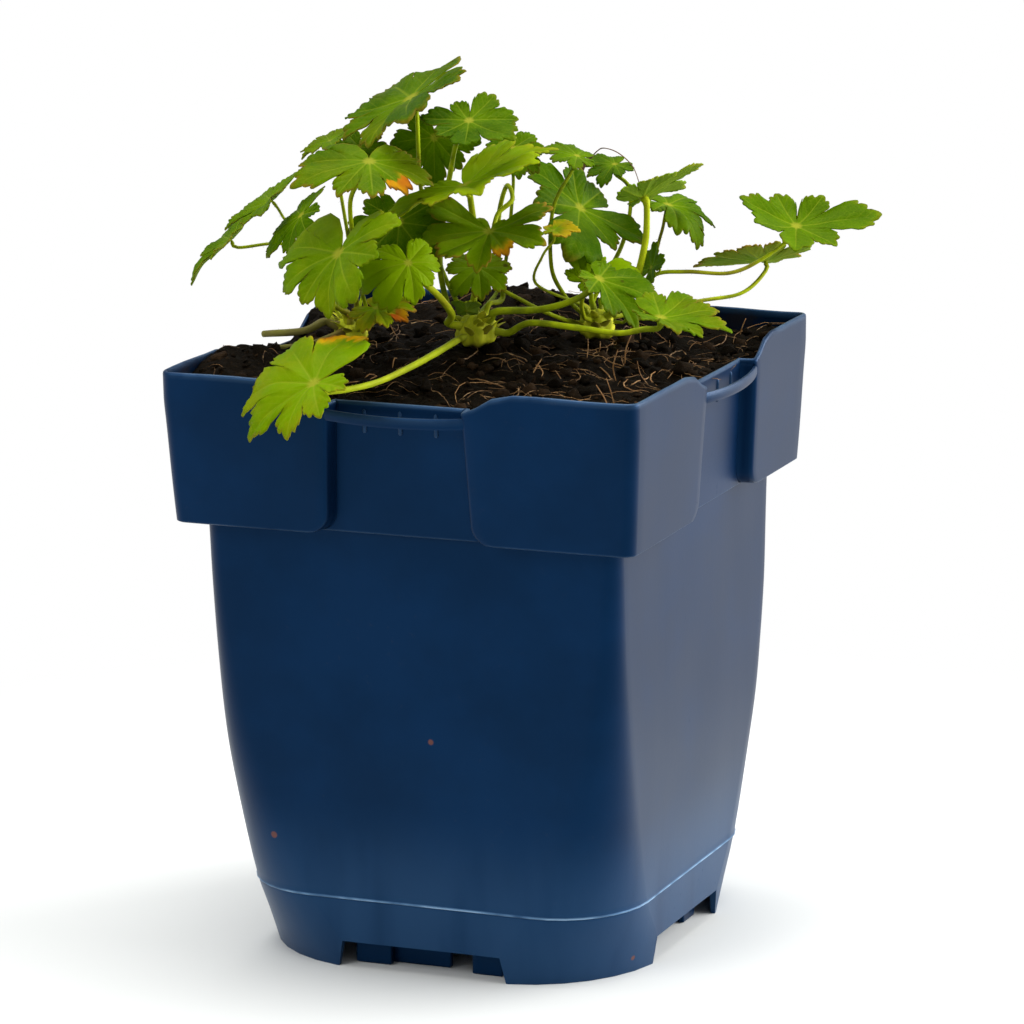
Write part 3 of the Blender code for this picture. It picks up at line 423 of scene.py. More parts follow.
# Softboxes: place, size, setting that holds the power
SOFTBOXES = {
    "rear_right_softbox": ((1.45, 0.75, 0.75), (1.9, 1.3), "side_light"),
    "overhead_softbox": ((-0.2, 0.15, 1.9), (1.4, 1.4), "top_light"),
    "front_softbox": ((-0.9, -1.6, 1.3), (1.0, 1.0), "front_light"),
}
LIGHT_AIM = (0.0, 0.0, 0.1)

CAMERA_LENS = 189.306
CAMERA_PLACE = (0.5291, -1.2738, 0.4243)
CAMERA_RIGHT = Vector((0.92577715, 0.37787184, -0.01222834))
CAMERA_UP = Vector((-0.07262468, 0.20948442, 0.97511124))
CAMERA_AHEAD = Vector((-0.37102873, 0.90184763, -0.22137872))

QUARTER_TURNS = [Matrix.Rotation(side * math.pi / 2, 3, "Z") for side in range(4)]

# Colours of stains, worn spots, small details and painted light; the settings hold the main ones
# Painted bounce light from the floor, laid over the lower body
FOOT_BOUNCE_LIGHT = (0.014, 0.040, 0.092)
WORN_LINE = (0.36, 0.50, 0.66)
RUST_SPECK = (0.16, 0.055, 0.02)
DUST = (0.10, 0.085, 0.065)
PEAT_SMEAR = (0.020, 0.014, 0.009)
PEAT_WARM = (0.030, 0.017, 0.008)
BARK_CRUMB = (0.055, 0.030, 0.014)
PALE_GRIT = (0.16, 0.11, 0.07)
COIR_PALE = (0.44, 0.27, 0.12)
BLADE_HEART = (0.48, 0.47, 0.04)
BLADE_RIM = (0.42, 0.20, 0.03)
WITHERED = ((0.72, 0.42, 0.006), (0.60, 0.13, 0.012))
SCORCHED = (0.10, 0.035, 0.008)
BLADE_FLECK = (0.055, 0.022, 0.006)
STALK_OLIVE = (0.15, 0.20, 0.008)
STALK_PALE = (0.52, 0.58, 0.015)
STALK_BASE = (0.34, 0.30, 0.05)
STALK_OLD = (0.16, 0.13, 0.045)
STALK_DRY = (0.10, 0.055, 0.035)
STALK_FLUSH = (0.22, 0.085, 0.02)
# Greens of the crown, partly painted light: lifted above its own colour to make up for the shade of the
# leaves
CROWN_GREENS_PAINTED_LIGHTER = ((0.42, 0.47, 0.012), (0.72, 0.72, 0.035))
SCALE_BROWN = (0.11, 0.055, 0.018)
CROWN_FOOT = (0.09, 0.055, 0.02)

# ---------------------------------------------------------------- settings


def colour_property(name, default, description):
    """A colour setting shown as a swatch."""
    return FloatVectorProperty(name=name, description=description, default=default, size=3,
                               min=0.0, max=1.0, subtype="COLOR")


class PotSettings(bpy.types.PropertyGroup):
    """Finish of the plastic pot."""

    plastic: colour_property("Plastic", (0.0010, 0.0110, 0.038), "Colour of the moulded pot")
    scuff: colour_property("Scuff", (0.17, 0.30, 0.46), "Colour of the worn mould line and rubbed edges")
    roughness: FloatProperty(name="Roughness", description="Roughness of the plastic", default=0.36,
                             min=0.0, max=1.0, subtype="FACTOR")
    warp: FloatProperty(name="Warp", description="How far the moulded walls stand off true",
                        default=0.22 * MM, min=0.0, max=1 * MM, unit="LENGTH")


class SoilSettings(bpy.types.PropertyGroup):
    """Colours of the peat and coir, and how much of them lies loose."""

    peat: colour_property("Peat", (0.0042, 0.0028, 0.0018), "Colour of the damp peat")
    coir: colour_property("Coir", (0.28, 0.135, 0.040), "Colour of the coir fibres")
    grain: FloatProperty(name="Grain", description="Height of the peat's lumps", default=1.7 * MM,
                         min=0.0, max=4 * MM, unit="LENGTH")
    crumbs: IntProperty(name="Crumbs", description="Number of loose crumbs", default=1250, min=0, max=1600)
    fibres: IntProperty(name="Fibres", description="Number of coir fibres", default=420, min=0, max=600)


class LeafSettings(bpy.types.PropertyGroup):
    """Colours of the blades and stalks."""

    deep: colour_property("Deep green", (0.042, 0.120, 0.0005), "Colour of a shaded, older blade")
    fresh: colour_property("Fresh green", (0.26, 0.43, 0.001), "Colour of a young blade")
    vein: colour_property("Vein", (0.42, 0.50, 0.03), "Colour of the veins")
    under: colour_property("Underside", (0.22, 0.31, 0.045), "Colour of the lower face")
    stalk: colour_property("Stalk", (0.36, 0.45, 0.006), "Colour of the leaf stalks")
    yellow: colour_property("Yellowing", (0.62, 0.42, 0.012), "Colour of an ageing edge")


class StageSettings(bpy.types.PropertyGroup):
    """Floor and lights."""

    floor: colour_property("Floor", (0.76, 0.77, 0.75), "Colour of the studio floor")
    side_light: FloatProperty(name="Side light", description="Power of the rear right softbox", default=56.0,
                              min=0.0, unit="POWER")
    top_light: FloatProperty(name="Top light", description="Power of the overhead softbox", default=32.0,
                             min=0.0, unit="POWER")
    front_light: FloatProperty(name="Front light", description="Power of the front softbox", default=15.0,
                               min=0.0, unit="POWER")
    ambient: FloatProperty(name="Ambient", description="Strength of the light from all round", default=0.45,
                           min=0.0, max=2.0)


# ---------------------------------------------------------------- mesh and material helpers


class Shape:
    """Points, faces and two notes a point (place and tone), gathered for one mesh."""

    def __init__(self):
        self.points = []
        self.faces = []
        self.place = []
        self.tone = []

    def add(self, points, faces, place, tone):
        """Take up points with a place each, their faces, and one tone for them all."""
        start = len(self.points)
        self.points += points
        self.place += place
        self.tone += [tone] * len(points)
        self.faces += [tuple(start + i for i in face) for face in faces]

    def build(self, name, materials, sharp=None):
        """A linked object; edges over the sharp angle, in degrees, are left unsmoothed."""
        mesh = bpy.data.meshes.new(name)
        mesh.from_pydata([tuple(p) for p in self.points], [], self.faces)
        for label, values in (("place", self.place), ("tone", self.tone)):
            layer = mesh.attributes.new(label, "FLOAT_VECTOR", "POINT")
            layer.data.foreach_set("vector", [v for row in values for v in row])
        for mat in materials:
            mesh.materials.append(mat)
        mesh.polygons.foreach_set("use_smooth", [True] * len(mesh.polygons))
        if sharp:
            mesh.set_sharp_from_angle(angle=math.radians(sharp))
        mesh.update()
        obj = bpy.data.objects.new(name, mesh)
        bpy.context.scene.collection.objects.link(obj)
        return obj


def settle(obj, slot, *nodes):
    """Put a finished piece in the frame: under the root body, with the CAD nodes it stands for hidden. The
    slot argument is not used.
    """
    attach(obj, "root")
    if nodes:
        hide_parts(*nodes)


def grid_faces(rows, columns):
    """Faces between rings of points, each ring closed on itself."""
    faces = []
    for i in range(rows - 1):
        for j in range(columns):
            k = (j + 1) % columns
            faces.append((i * columns + j, i * columns + k, (i + 1) * columns + k, (i + 1) * columns + j))
    return faces


def capped_faces(rows, columns):
    """Faces between rings of points, and one over each end."""
    ends = [tuple(reversed(range(columns))), tuple(range((rows - 1) * columns, rows * columns))]
    return grid_faces(rows, columns) + ends


def tube(points, radii, sides):
    """Points, faces and places of a closed tube along a route, with no twist from ring to ring."""
    ring_points, place = [], []
    ahead = (points[1] - points[0]).normalized()
    side = ahead.orthogonal().normalized()
    last = len(points) - 1
    for i, (centre, radius) in enumerate(zip(points, radii)):
        ahead = (points[min(i + 1, last)] - points[max(i - 1, 0)]).normalized()
        side = (side - ahead * side.dot(ahead)).normalized()
        up = ahead.cross(side)
        for j in range(sides):
            angle = 2 * math.pi * j / sides
            ring_points.append(centre + radius * (side * math.cos(angle) + up * math.sin(angle)))
            place.append((i / last, j / sides, 0.0))
    return ring_points, capped_faces(len(points), sides), place


def catmull(points, spacing):
    """Points about one spacing apart on a smooth curve through the given points."""
    ends = [2 * points[0] - points[1], *points, 2 * points[-1] - points[-2]]
    fine = []
    for a, b, c, d in zip(ends, ends[1:], ends[2:], ends[3:]):
        count = max(1, round((c - b).length / spacing))
        for i in range(count):
            t = i / count
            fine.append(0.5 * (2 * b + (c - a) * t + (2 * a - 5 * b + 4 * c - d) * t * t
                               + (3 * b - a - 3 * c + d) * t ** 3))
    return fine + [points[-1]]


def smooth(value, low, high):
    """0 up to low, 1 from high, smooth between."""
    share = min(max((value - low) / (high - low), 0.0), 1.0)
    return share * share * (3 - 2 * share)


def at_height(rows, z):
    """Smooth values of a table of (height, value, value...) rows at a height."""
    if z <= rows[0][0]:
        return rows[0][1:]
    if z >= rows[-1][0]:
        return rows[-1][1:]
    i = next(n for n in range(len(rows) - 1) if z <= rows[n + 1][0])
    low, high = rows[i], rows[i + 1]
    before, after = rows[max(i - 1, 0)], rows[min(i + 2, len(rows) - 1)]
    width = high[0] - low[0]
    t = (z - low[0]) / width
    values = []
    for a, b, c, d in zip(before[1:], low[1:], high[1:], after[1:]):
        rise_low = (c - a) / (high[0] - before[0]) * width
        rise_high = (d - b) / (after[0] - low[0]) * width
        values.append((2 * t ** 3 - 3 * t * t + 1) * b + (t ** 3 - 2 * t * t + t) * rise_low
                      + (3 * t * t - 2 * t ** 3) * c + (t ** 3 - t * t) * rise_high)
    return tuple(values)


class Finish:
    """A material and its node tree, wired a step at a time."""

    def __init__(self, name):
        self.material = bpy.data.materials.new(name)
        self.material.use_nodes = True
        self.tree = self.material.node_tree
        self.tree.nodes.clear()
        self.output = self.tree.nodes.new("ShaderNodeOutputMaterial")
        self.spot = self.node("TexCoord").outputs["Object"]

    def wire(self, socket, value):
        """Link a socket to another one, or set its value."""
        if isinstance(value, bpy.types.NodeSocket):
            self.tree.links.new(value, socket)
        elif socket.type == "RGBA":
            socket.default_value = (*value, 1.0)
        else:
            socket.default_value = value

    def node(self, kind, inputs=None, **settings):
        """A new node with its settings and its inputs."""
        made = self.tree.nodes.new("ShaderNode" + kind)
        for key, value in settings.items():
            setattr(made, key, value)
        for key, value in (inputs or {}).items():
            self.wire(made.inputs[key], value)
        return made

    def math(self, operation, a, b=0.0, clamp=False):
        return self.node("Math", {0: a, 1: b}, operation=operation, use_clamp=clamp).outputs[0]

    def times(self, a, b, clamp=False):
        return self.math("MULTIPLY", a, b, clamp)

    def stain(self, colour, share, amount, other):
        """A colour with a share of another laid over it, the share times an amount."""
        return self.mix(self.times(share, amount), colour, other)

    def fade(self, value, low, high):
        """0 at low, 1 at high, smooth between; low may be above high."""
        return self.node("MapRange", {"Value": value, "From Min": low, "From Max": high},
                         interpolation_type="SMOOTHSTEP").outputs[0]

    def mix(self, share, a, b, blend="MIX"):
        made = self.node("Mix", data_type="RGBA", blend_type=blend)
        self.wire(made.inputs[0], share)
        self.wire(made.inputs[6], a)
        self.wire(made.inputs[7], b)
        return made.outputs[2]

    def noise(self, scale, detail=3.0, rough=0.5, stretch=None):
        where = self.spot
        if stretch:
            where = self.node("Mapping", {"Vector": where, "Scale": stretch}).outputs[0]
        return self.node("TexNoise", {"Vector": where, "Scale": scale, "Detail": detail,
                                      "Roughness": rough}).outputs[0]

    def cells(self, scale, feature="F1"):
        """Distance from the nearest cell's centre, or from its edge."""
        made = self.node("TexVoronoi", {"Vector": self.spot, "Scale": scale}, feature=feature)
        return made.outputs["Distance"]

    def note(self, label):
        """The three numbers of a mesh note."""
        vector = self.node("Attribute", attribute_name=label).outputs["Vector"]
        return self.node("SeparateXYZ", {0: vector}).outputs

    def bump(self, height, distance, strength=1.0, under=None):
        inputs = {"Height": height, "Distance": distance, "Strength": strength}
        if under:
            inputs["Normal"] = under
        return self.node("Bump", inputs).outputs[0]

    def principled(self, inputs):
        return self.node("BsdfPrincipled", inputs).outputs[0]

    def done(self, surface):
        self.wire(self.output.inputs["Surface"], surface)
        return self.material


# ---------------------------------------------------------------- pot


def plastic_finish(settings):
    """Satin moulded plastic: faint flow marks, dust, rubbed edges, a pale mould line and painted bounce
    light at the foot.
    """
    f = Finish("pot_plastic")
    wear, inside, low = f.note("place")
    cloud = f.noise(22.0, 4.0, 0.6)
    flow = f.noise(60.0, 3.0, 0.5, (1.0, 1.0, 0.18))
    grain = f.noise(1400.0, 2.0, 0.6)
    deep = tuple(0.78 * v for v in settings.plastic)
    pale = tuple(1.22 * v for v in settings.plastic)
    colour = f.mix(f.fade(cloud, 0.35, 0.68), deep, pale)
    # Painted bounce light: the lower body is blended towards a lighter blue, as if lit from the floor
    colour = f.stain(colour, low, f.fade(flow, 0.1, 0.6), FOOT_BOUNCE_LIGHT)
    rubbed = f.times(wear, f.fade(f.noise(55.0, 3.0, 0.6), 0.30, 0.55))
    colour = f.stain(colour, rubbed, 0.85, settings.scuff)
    colour = f.mix(f.fade(rubbed, 0.7, 1.3), colour, WORN_LINE)
    speck = f.times(f.fade(f.cells(70.0), 0.075, 0.05), f.fade(f.noise(26.0, 2.0), 0.55, 0.58))
    colour = f.stain(colour, speck, 0.8, RUST_SPECK)
    dust = f.times(f.fade(f.noise(420.0, 5.0, 0.75), 0.60, 0.76), f.fade(cloud, 0.42, 0.62))
    colour = f.stain(colour, dust, 0.10, DUST)
    smear = f.times(inside, f.fade(f.noise(90.0, 5.0, 0.7), 0.42, 0.62))
    colour = f.stain(colour, smear, 0.7, PEAT_SMEAR)
    roughness = f.math("ADD", settings.roughness - 0.03, f.times(cloud, 0.08))
    roughness = f.math("ADD", roughness, f.times(dust, 0.2))
    normal = f.bump(flow, 0.12 * MM, 0.3)
    normal = f.bump(grain, 0.03 * MM, 0.35, normal)
    return f.done(f.principled({"Base Color": colour, "Roughness": roughness, "Normal": normal,
                                "IOR": 1.46, "Specular IOR Level": 0.40,
                                "Specular Tint": (0.10, 0.40, 1.0)}))


def recess_edge(z):
    """Half width of the recess at a height; the panel's lower corner is rounded off."""
    share = min(max((z - COLLAR_BOTTOM) / (POT_HEIGHT - COLLAR_BOTTOM), 0.0), 1.0)
    half = RECESS_HALF_BOTTOM + (RECESS_HALF_TOP - RECESS_HALF_BOTTOM) * share
    left = PANEL_CORNER - (z - COLLAR_BOTTOM)
    if left > 0:
        half += PANEL_CORNER - math.sqrt(max(PANEL_CORNER ** 2 - min(left, PANEL_CORNER) ** 2, 0.0))
    return half


def pot_ring(z, half, corner, depth=0.0, dip=0.0, warp=0.0, grow=0.0):
    """One square section of the pot, counter-clockwise from the left end of its front face."""
    edge = recess_edge(z if z >= COLLAR_BOTTOM else COLLAR_BOTTOM) + grow
    run = half - corner
    inner = edge + RECESS_EDGE[0][0] * MM
    outer = edge + RECESS_EDGE[-1][0] * MM
    along = [(inner * s, 1.0) for s in (0.0, 0.22, 0.44, 0.66, 0.86)]
    along += [(edge + d * MM, share) for d, share in RECESS_EDGE]
    full = max(run, outer + 3 * MM)
    along += [(outer + (full - outer) * s, 0.0) for s in (0.06, 0.16, 0.3, 0.45, 0.6, 0.75, 0.9, 1.0)]
    if full > run:
        along = [(a * run / full, share) for a, share in along]
    points = []
    for side, turn in enumerate(QUARTER_TURNS):
        slide = min(RECESS_SLIDE[side], 0.6 * max(run - outer, 0.0))
        for a, share in [(-a, s) for a, s in reversed(along[1:])] + along:
            drop = dip * smooth(DIP_END - abs(a), 0.0, DIP_END - RECESS_HALF_TOP)
            a += slide * smooth(run - abs(a), 0.0, max(run - outer, 1 * MM))
            points.append(turn @ Vector((a, depth * share - half, z - drop)))
        for i in range(1, 8):
            angle = (i / 8 - 1) * math.pi / 2
            spot = Vector((run + corner * math.cos(angle), -run + corner * math.sin(angle), z))
            points.append(turn @ spot)
    if warp:
        for i, p in enumerate(points):
            out = Vector((p.x, p.y, 0)).normalized()
            wave = noise.noise(Vector((p.x, p.y, p.z * 1.4)) * 32)
            ripple = noise.noise(Vector((p.x + 1, p.y, p.z * 0.25)) * 90)
            points[i] = p + out * warp * (wave + 0.25 * ripple)
            wave = noise.noise(Vector((p.x, p.y, 3.0)) * 45)
            points[i].z += 2.2 * warp * wave * smooth(p.z, 150 * MM, 157 * MM)
    return points


def collar_half(z):
    """Half width of the collar at a height."""
    return COLLAR_BOTTOM_HALF + (RIM_HALF - COLLAR_BOTTOM_HALF) * min(
        (z - COLLAR_BOTTOM) / (RIM_SHOULDER - COLLAR_BOTTOM), 1.0)


def pot_rings(warp):
    """Rings up the outside, over the rim and down the inside, each with its wear and inside notes."""
    rings = []

    def add(z, half, corner, wear=0.0, inside=0.0, **form):
        """Lay one more ring."""
        rings.append((pot_ring(z, half, corner, **form), wear, inside))

    for height in (0.0, 0.5, 1.2, 2.4, 4, 5.5, 7, 9, 11, 13.5, 16, 17.6, 18.2):
        add(height * MM, *at_height(BODY_SECTIONS, height * MM), warp=warp)
    for rise, proud, wear in MOULD_BEAD:
        half, corner = at_height(BODY_SECTIONS, MOULD_LINE + rise * MM)
        add(MOULD_LINE + rise * MM, half + proud * MM, corner + proud * MM, wear, warp=warp)
    z = MOULD_LINE + 2 * MM
    while z < COLLAR_BOTTOM - 3 * MM:
        add(z, *at_height(BODY_SECTIONS, z), warp=warp)
        z += BODY_STEP
    _, body_half, body_corner = BODY_SECTIONS[-1]
    add(COLLAR_BOTTOM - 0.8 * MM, body_half, body_corner, warp=warp)
    add(COLLAR_BOTTOM + 0.4 * MM, body_half + 0.1 * MM, body_corner, warp=warp)
    add(COLLAR_BOTTOM + 0.2 * MM, COLLAR_BOTTOM_HALF - 0.9 * MM, RIM_CORNER, depth=RECESS_DEPTH, warp=warp)
    add(COLLAR_BOTTOM, COLLAR_BOTTOM_HALF - 0.3 * MM, RIM_CORNER, 0.12, depth=RECESS_DEPTH, warp=warp)
    for rise in COLLAR_RISES:
        z = COLLAR_BOTTOM + rise * MM
        wear = 0.1 if rise < 0.5 or rise > 38 else 0.0
        dip = RIM_DIP * smooth(z, RIM_SHOULDER, POT_HEIGHT)
        add(z, collar_half(z), RIM_CORNER, wear, depth=RECESS_DEPTH, dip=dip, warp=warp)
    for inset, drop, wear in RIM_BEAD:
        add(POT_HEIGHT - drop * MM, RIM_HALF - inset * MM, RIM_CORNER - inset * MM, wear, 0.1,
            depth=RECESS_DEPTH, dip=RIM_DIP, warp=warp, grow=inset * MM)
    for z, share in ((155, 0.75), (152.5, 0.4), (150.5, 0.15), (RIM_SHOULDER / MM, 0.0), (144, 0.0),
                     (132, 0.0), ((COLLAR_BOTTOM + WALL) / MM, 0.0)):
        add(z * MM, collar_half(z * MM) - WALL, RIM_CORNER - WALL, 0.0, 1.0,
            depth=RECESS_DEPTH, dip=RIM_DIP * share, warp=warp, grow=WALL)
    for z, half, corner in reversed(BODY_SECTIONS[1:]):
        add(min(z, COLLAR_BOTTOM - WALL), half - WALL, max(corner - WALL, 1 * MM), 0.0, 1.0)
    return rings


def cutter(build):
    """An object made by a mesh function: the shape to cut away, or the foot blocks."""
    bm = bmesh.new()
    build(bm)
    bmesh.ops.recalc_face_normals(bm, faces=bm.faces[:])
    mesh = bpy.data.meshes.new("cutter")
    bm.to_mesh(mesh)
    bm.free()
    obj = bpy.data.objects.new("cutter", mesh)
    bpy.context.scene.collection.objects.link(obj)
    return obj


def block(bm, low, high, turn, top=None):
    """A box between two corners; top narrows its upper face along x to that half width."""
    made = bmesh.ops.create_cube(bm, size=1)["verts"]
    centre = (Vector(low) + Vector(high)) / 2
    size = Vector(high) - Vector(low)
    for v in made:
        upper = v.co.z > 0
        v.co = Vector((v.co.x * size.x, v.co.y * size.y, v.co.z * size.z)) + centre
        if top and upper:
            v.co.x = math.copysign(top, v.co.x)
        v.co = turn @ v.co


def foot_cuts(bm):
    """The cut-outs in the skirt and the drain holes in the floor."""
    foot = BODY_SECTIONS[0][1]
    for turn in QUARTER_TURNS:
        block(bm, (-24 * MM, -foot - 3 * MM, -3 * MM), (24 * MM, 3 * MM - foot, 7 * MM), turn, 22 * MM)
        spot = turn @ Vector((0, -30 * MM, (FLOOR_UNDER + FLOOR_TOP) / 2))
        bmesh.ops.create_cone(bm, cap_ends=True, segments=28, radius1=4 * MM, radius2=4 * MM,
                              depth=6 * MM, matrix=Matrix.Translation(spot))


def cut_away(obj, other):
    """Cut a hidden object's shape out of a mesh, then remove the hidden object."""
    mod = obj.modifiers.new("cut-outs", "BOOLEAN")
    mod.operation = "DIFFERENCE"
    mod.object = other
    mod.solver = "EXACT"
    graph = bpy.context.evaluated_depsgraph_get()
    mesh = bpy.data.meshes.new_from_object(obj.evaluated_get(graph))
    obj.modifiers.clear()
    obj.data = mesh
    bpy.data.objects.remove(other, do_unlink=True)


def renew_place(mesh, shape):
    """Give a mesh that a boolean has rebuilt the place notes of the nearest points it was made from."""
    tree = kdtree.KDTree(len(shape.points))
    for i, p in enumerate(shape.points):
        tree.insert(p, i)
    tree.balance()
    values = [v for vertex in mesh.vertices for v in shape.place[tree.find(vertex.co)[1]]]
    mesh.attributes["place"].data.foreach_set("vector", values)


def strap_shape(shape):
    """The bowed label strap across the top of each recess, with rounded edges."""
    half = RECESS_HALF_TOP + 1.6 * MM
    steps = 26
    for side, turn in enumerate(QUARTER_TURNS):
        points, place = [], []
        for i in range(steps + 1):
            a = -half + 2 * half * i / steps
            bow = STRAP_BOW * (1 - (a / half) ** 2) ** 0.8
            sag = 0.5 * MM * (1 - (a / half) ** 2)
            for inward, up in STRAP_PROFILE:
                y = -(RIM_HALF - 0.3 * MM + bow) + inward * STRAP_THICK
                z = STRAP_TOP - sag - STRAP_HEIGHT * (1 - up)
                points.append(turn @ Vector((a + RECESS_SLIDE[side], y, z)))
                place.append((0.08 if up > 0.7 else 0.0, 0.0, 0.0))
        faces = [tuple(reversed(face)) for face in capped_faces(steps + 1, len(STRAP_PROFILE))]
        shape.add(points, faces, place, (0, 0, 0))


def rib_shape(shape):
    """Three fine upright ribs behind each strap."""
    wall = RIM_HALF - RECESS_DEPTH
    for side, turn in enumerate(QUARTER_TURNS):
        for i in (-1, 0, 1):
            route = [turn @ Vector((i * RIB_SPACING + RECESS_SLIDE[side], -wall + 0.15 * MM, z * MM))
                     for z in (144.0, 144.4, 146, 148, 149.6, 150.1)]
            points, faces, _ = tube(route, [0.25 * MM, *[0.6 * MM] * 4, 0.3 * MM], 8)
            shape.add(points, faces, [(0.1, 0.0, 0.0)] * len(points), (0, 0, 0))


def make_pot(settings):
    """The moulding with its cut-outs, the label straps and the foot blocks."""
    _, foot_half, foot_corner = BODY_SECTIONS[0]
    under = [(pot_ring(z, foot_half - WALL, foot_corner - WALL), 0.0, 0.0) for z in (FLOOR_UNDER, 0.0)]
    rings = under + pot_rings(settings.warp)
    shape = Shape()
    points = [p for ring, _, _ in rings for p in ring]
    # The third note rises to 1 towards the foot, where the plastic finish paints bounce light from the floor
    place = [(wear, inside, 1 - smooth(p.z, MOULD_LINE - 3 * MM, MOULD_LINE + 28 * MM))
             for ring, wear, inside in rings for p in ring]
    shape.add(points, capped_faces(len(rings), len(rings[0][0])), place, (0, 0, 0))
    finish = plastic_finish(settings)
    pot = shape.build("pot_moulding", [finish])
    cut_away(pot, cutter(foot_cuts))
    renew_place(pot.data, shape)
    pot.data.set_sharp_from_angle(angle=math.radians(POT_SHARP))
    settle(pot, "pot_plastic", "pot")
    shape = Shape()
    strap_shape(shape)
    rib_shape(shape)
    straps = shape.build("pot_label_straps", [finish], STRAP_SHARP)
    settle(straps, "pot_plastic", "pot")
    foot = cutter(foot_blocks)
    foot.name = "pot_foot_blocks"
    foot.data.materials.append(finish)
    bevel = foot.modifiers.new("soft edges", "BEVEL")
    bevel.width = 0.5 * MM
    bevel.segments = 2
    settle(foot, "pot_plastic", "pot")


def foot_blocks(bm):
    """The stepped blocks that stand behind the cut-outs."""
    for turn in QUARTER_TURNS:
        for start, end, distance in FOOT_BLOCKS:
            block(bm, (start * MM, -distance * MM, 0.05 * MM),
                  (end * MM, (2 - distance) * MM, FLOOR_UNDER + 0.5 * MM), turn)


# ---------------------------------------------------------------- soil


def soil_height(x, y):
    """Level of the peat with its heaps, before its lumps."""
    height = SOIL_LEVEL
    for cx, cy, rise, spread in SOIL_HILLS:
        height += rise * math.exp(-((x - cx) ** 2 + (y - cy) ** 2) / (2 * spread ** 2))
    return height


def soil_surface(x, y, grain):
    """The lumpy top of the peat."""
    p = Vector((x, y, 0.0))
    lump = noise.noise(p * 120) * 0.9 + noise.noise(p * 330 + Vector((3, 1, 0))) * 0.55
    lump += noise.noise(p * 800) * 0.28 + noise.noise(p * 1900) * 0.12
    clod = noise.voronoi(p * 210)[0]
    lump += 0.75 * (0.45 - clod[0]) + 0.35 * abs(noise.noise(p * 60))
    edge = smooth(max(abs(x), abs(y)), SOIL_HALF - 9 * MM, SOIL_HALF)
    return soil_height(x, y) + grain * lump * (1 - 0.35 * edge)


def soil_finish(settings):
    """Damp peat: near-black, with warm specks and a little pale grit."""
    f = Finish("soil")
    tone = f.note("tone")[0]
    speck = f.noise(900.0, 6.0, 0.75)
    patch = f.noise(70.0, 4.0, 0.6)
    dark = tuple(0.45 * v for v in settings.peat)
    colour = f.mix(f.fade(patch, 0.35, 0.7), dark, settings.peat)
    colour = f.stain(colour, f.fade(speck, 0.52, 0.70), 0.75, PEAT_WARM)
    colour = f.stain(colour, tone, 0.7, BARK_CRUMB)
    pale = f.fade(f.cells(1500.0), 0.16, 0.05)
    pale = f.times(pale, f.fade(f.noise(330.0, 2.0), 0.56, 0.64))
    colour = f.stain(colour, pale, 0.5, PALE_GRIT)
    normal = f.bump(f.noise(650.0, 8.0, 0.72), 1.0 * MM, 0.9)
    normal = f.bump(f.cells(2600.0), 0.25 * MM, 0.6, normal)
    roughness = f.math("ADD", 0.52, f.times(speck, 0.4))
    return f.done(f.principled({"Base Color": colour, "Roughness": roughness, "Normal": normal,
                                "Specular IOR Level": 0.05, "Specular Tint": (1.0, 0.8, 0.5)}))


def coir_finish(settings):
    """Dry coir: tan to dark brown, streaked."""
    f = Finish("coir_fibre")
    tone = f.note("tone")[0]
    dark = tuple(0.22 * v for v in settings.coir)
    colour = f.mix(tone, dark, settings.coir)
    streak = f.noise(700.0, 4.0, 0.6)
    colour = f.mix(f.fade(streak, 0.48, 0.7), colour, COIR_PALE)
    normal = f.bump(f.noise(2500.0, 3.0), 0.08 * MM, 0.6)
    return f.done(f.principled({"Base Color": colour, "Roughness": 0.62, "Normal": normal,
                                "Specular IOR Level": 0.3}))


def make_peat(settings, finish):
    """A fine grid squeezed round the recesses, with walls down to the floor of the pot."""
    count = PEAT_CELLS
    half = SOIL_HALF
    clear = RECESS_HALF_BOTTOM + 2 * MM
    shape = Shape()
    points = []
    for j in range(count + 1):
        v = 2 * j / count - 1
        for i in range(count + 1):
            u = 2 * i / count - 1
            x, y = u * half, v * half
            off = y - RECESS_SLIDE[1] if x > 0 else y
            squeeze_x = RECESS_CLEAR * smooth(clear + 2 * MM - abs(off), 0.0, 2.5 * MM)
            squeeze_y = RECESS_CLEAR * smooth(clear + 2 * MM - abs(x), 0.0, 2.5 * MM)
            x -= math.copysign(squeeze_x * abs(u) ** 8, u)
            y -= math.copysign(squeeze_y * abs(v) ** 8, v)
            points.append(Vector((x, y, soil_surface(x, y, settings.grain))))
    row = count + 1
    faces = [(j * row + i, j * row + i + 1, (j + 1) * row + i + 1, (j + 1) * row + i)
             for j in range(count) for i in range(count)]
    border = list(range(count)) + [j * row + count for j in range(count)]
    border += [count * row + i for i in range(count, 0, -1)] + [j * row for j in range(count, 0, -1)]
    loops = [border]
    for z, size in PEAT_LEVELS:
        loop = []
        for index in border:
            p = points[index]
            loop.append(len(points))
            points.append(Vector((p.x * size / half, p.y * size / half, z)))
        loops.append(loop)
    total = len(border)
    for upper, lower in zip(loops, loops[1:]):
        for i in range(total):
            k = (i + 1) % total
            faces.append((upper[i], lower[i], lower[k], upper[k]))
    faces.append(tuple(reversed(loops[-1])))
    shape.add(points, faces, [(0, 0, 0)] * len(points), (0.0, 0.0, 0.0))
    soil = shape.build("peat", [finish])
    settle(soil, "soil", "soil")


def open_spot(rng, margin):
    """A random place on the peat, inside the walls and clear of the recesses."""
    while True:
        x = rng.uniform(-SOIL_HALF + margin, SOIL_HALF - margin)
        y = rng.uniform(-SOIL_HALF + margin, SOIL_HALF - margin)
        if max(abs(x), abs(y)) <= SOIL_HALF - RECESS_CLEAR - margin or min(abs(x), abs(y)) >= 28 * MM:
            return x, y


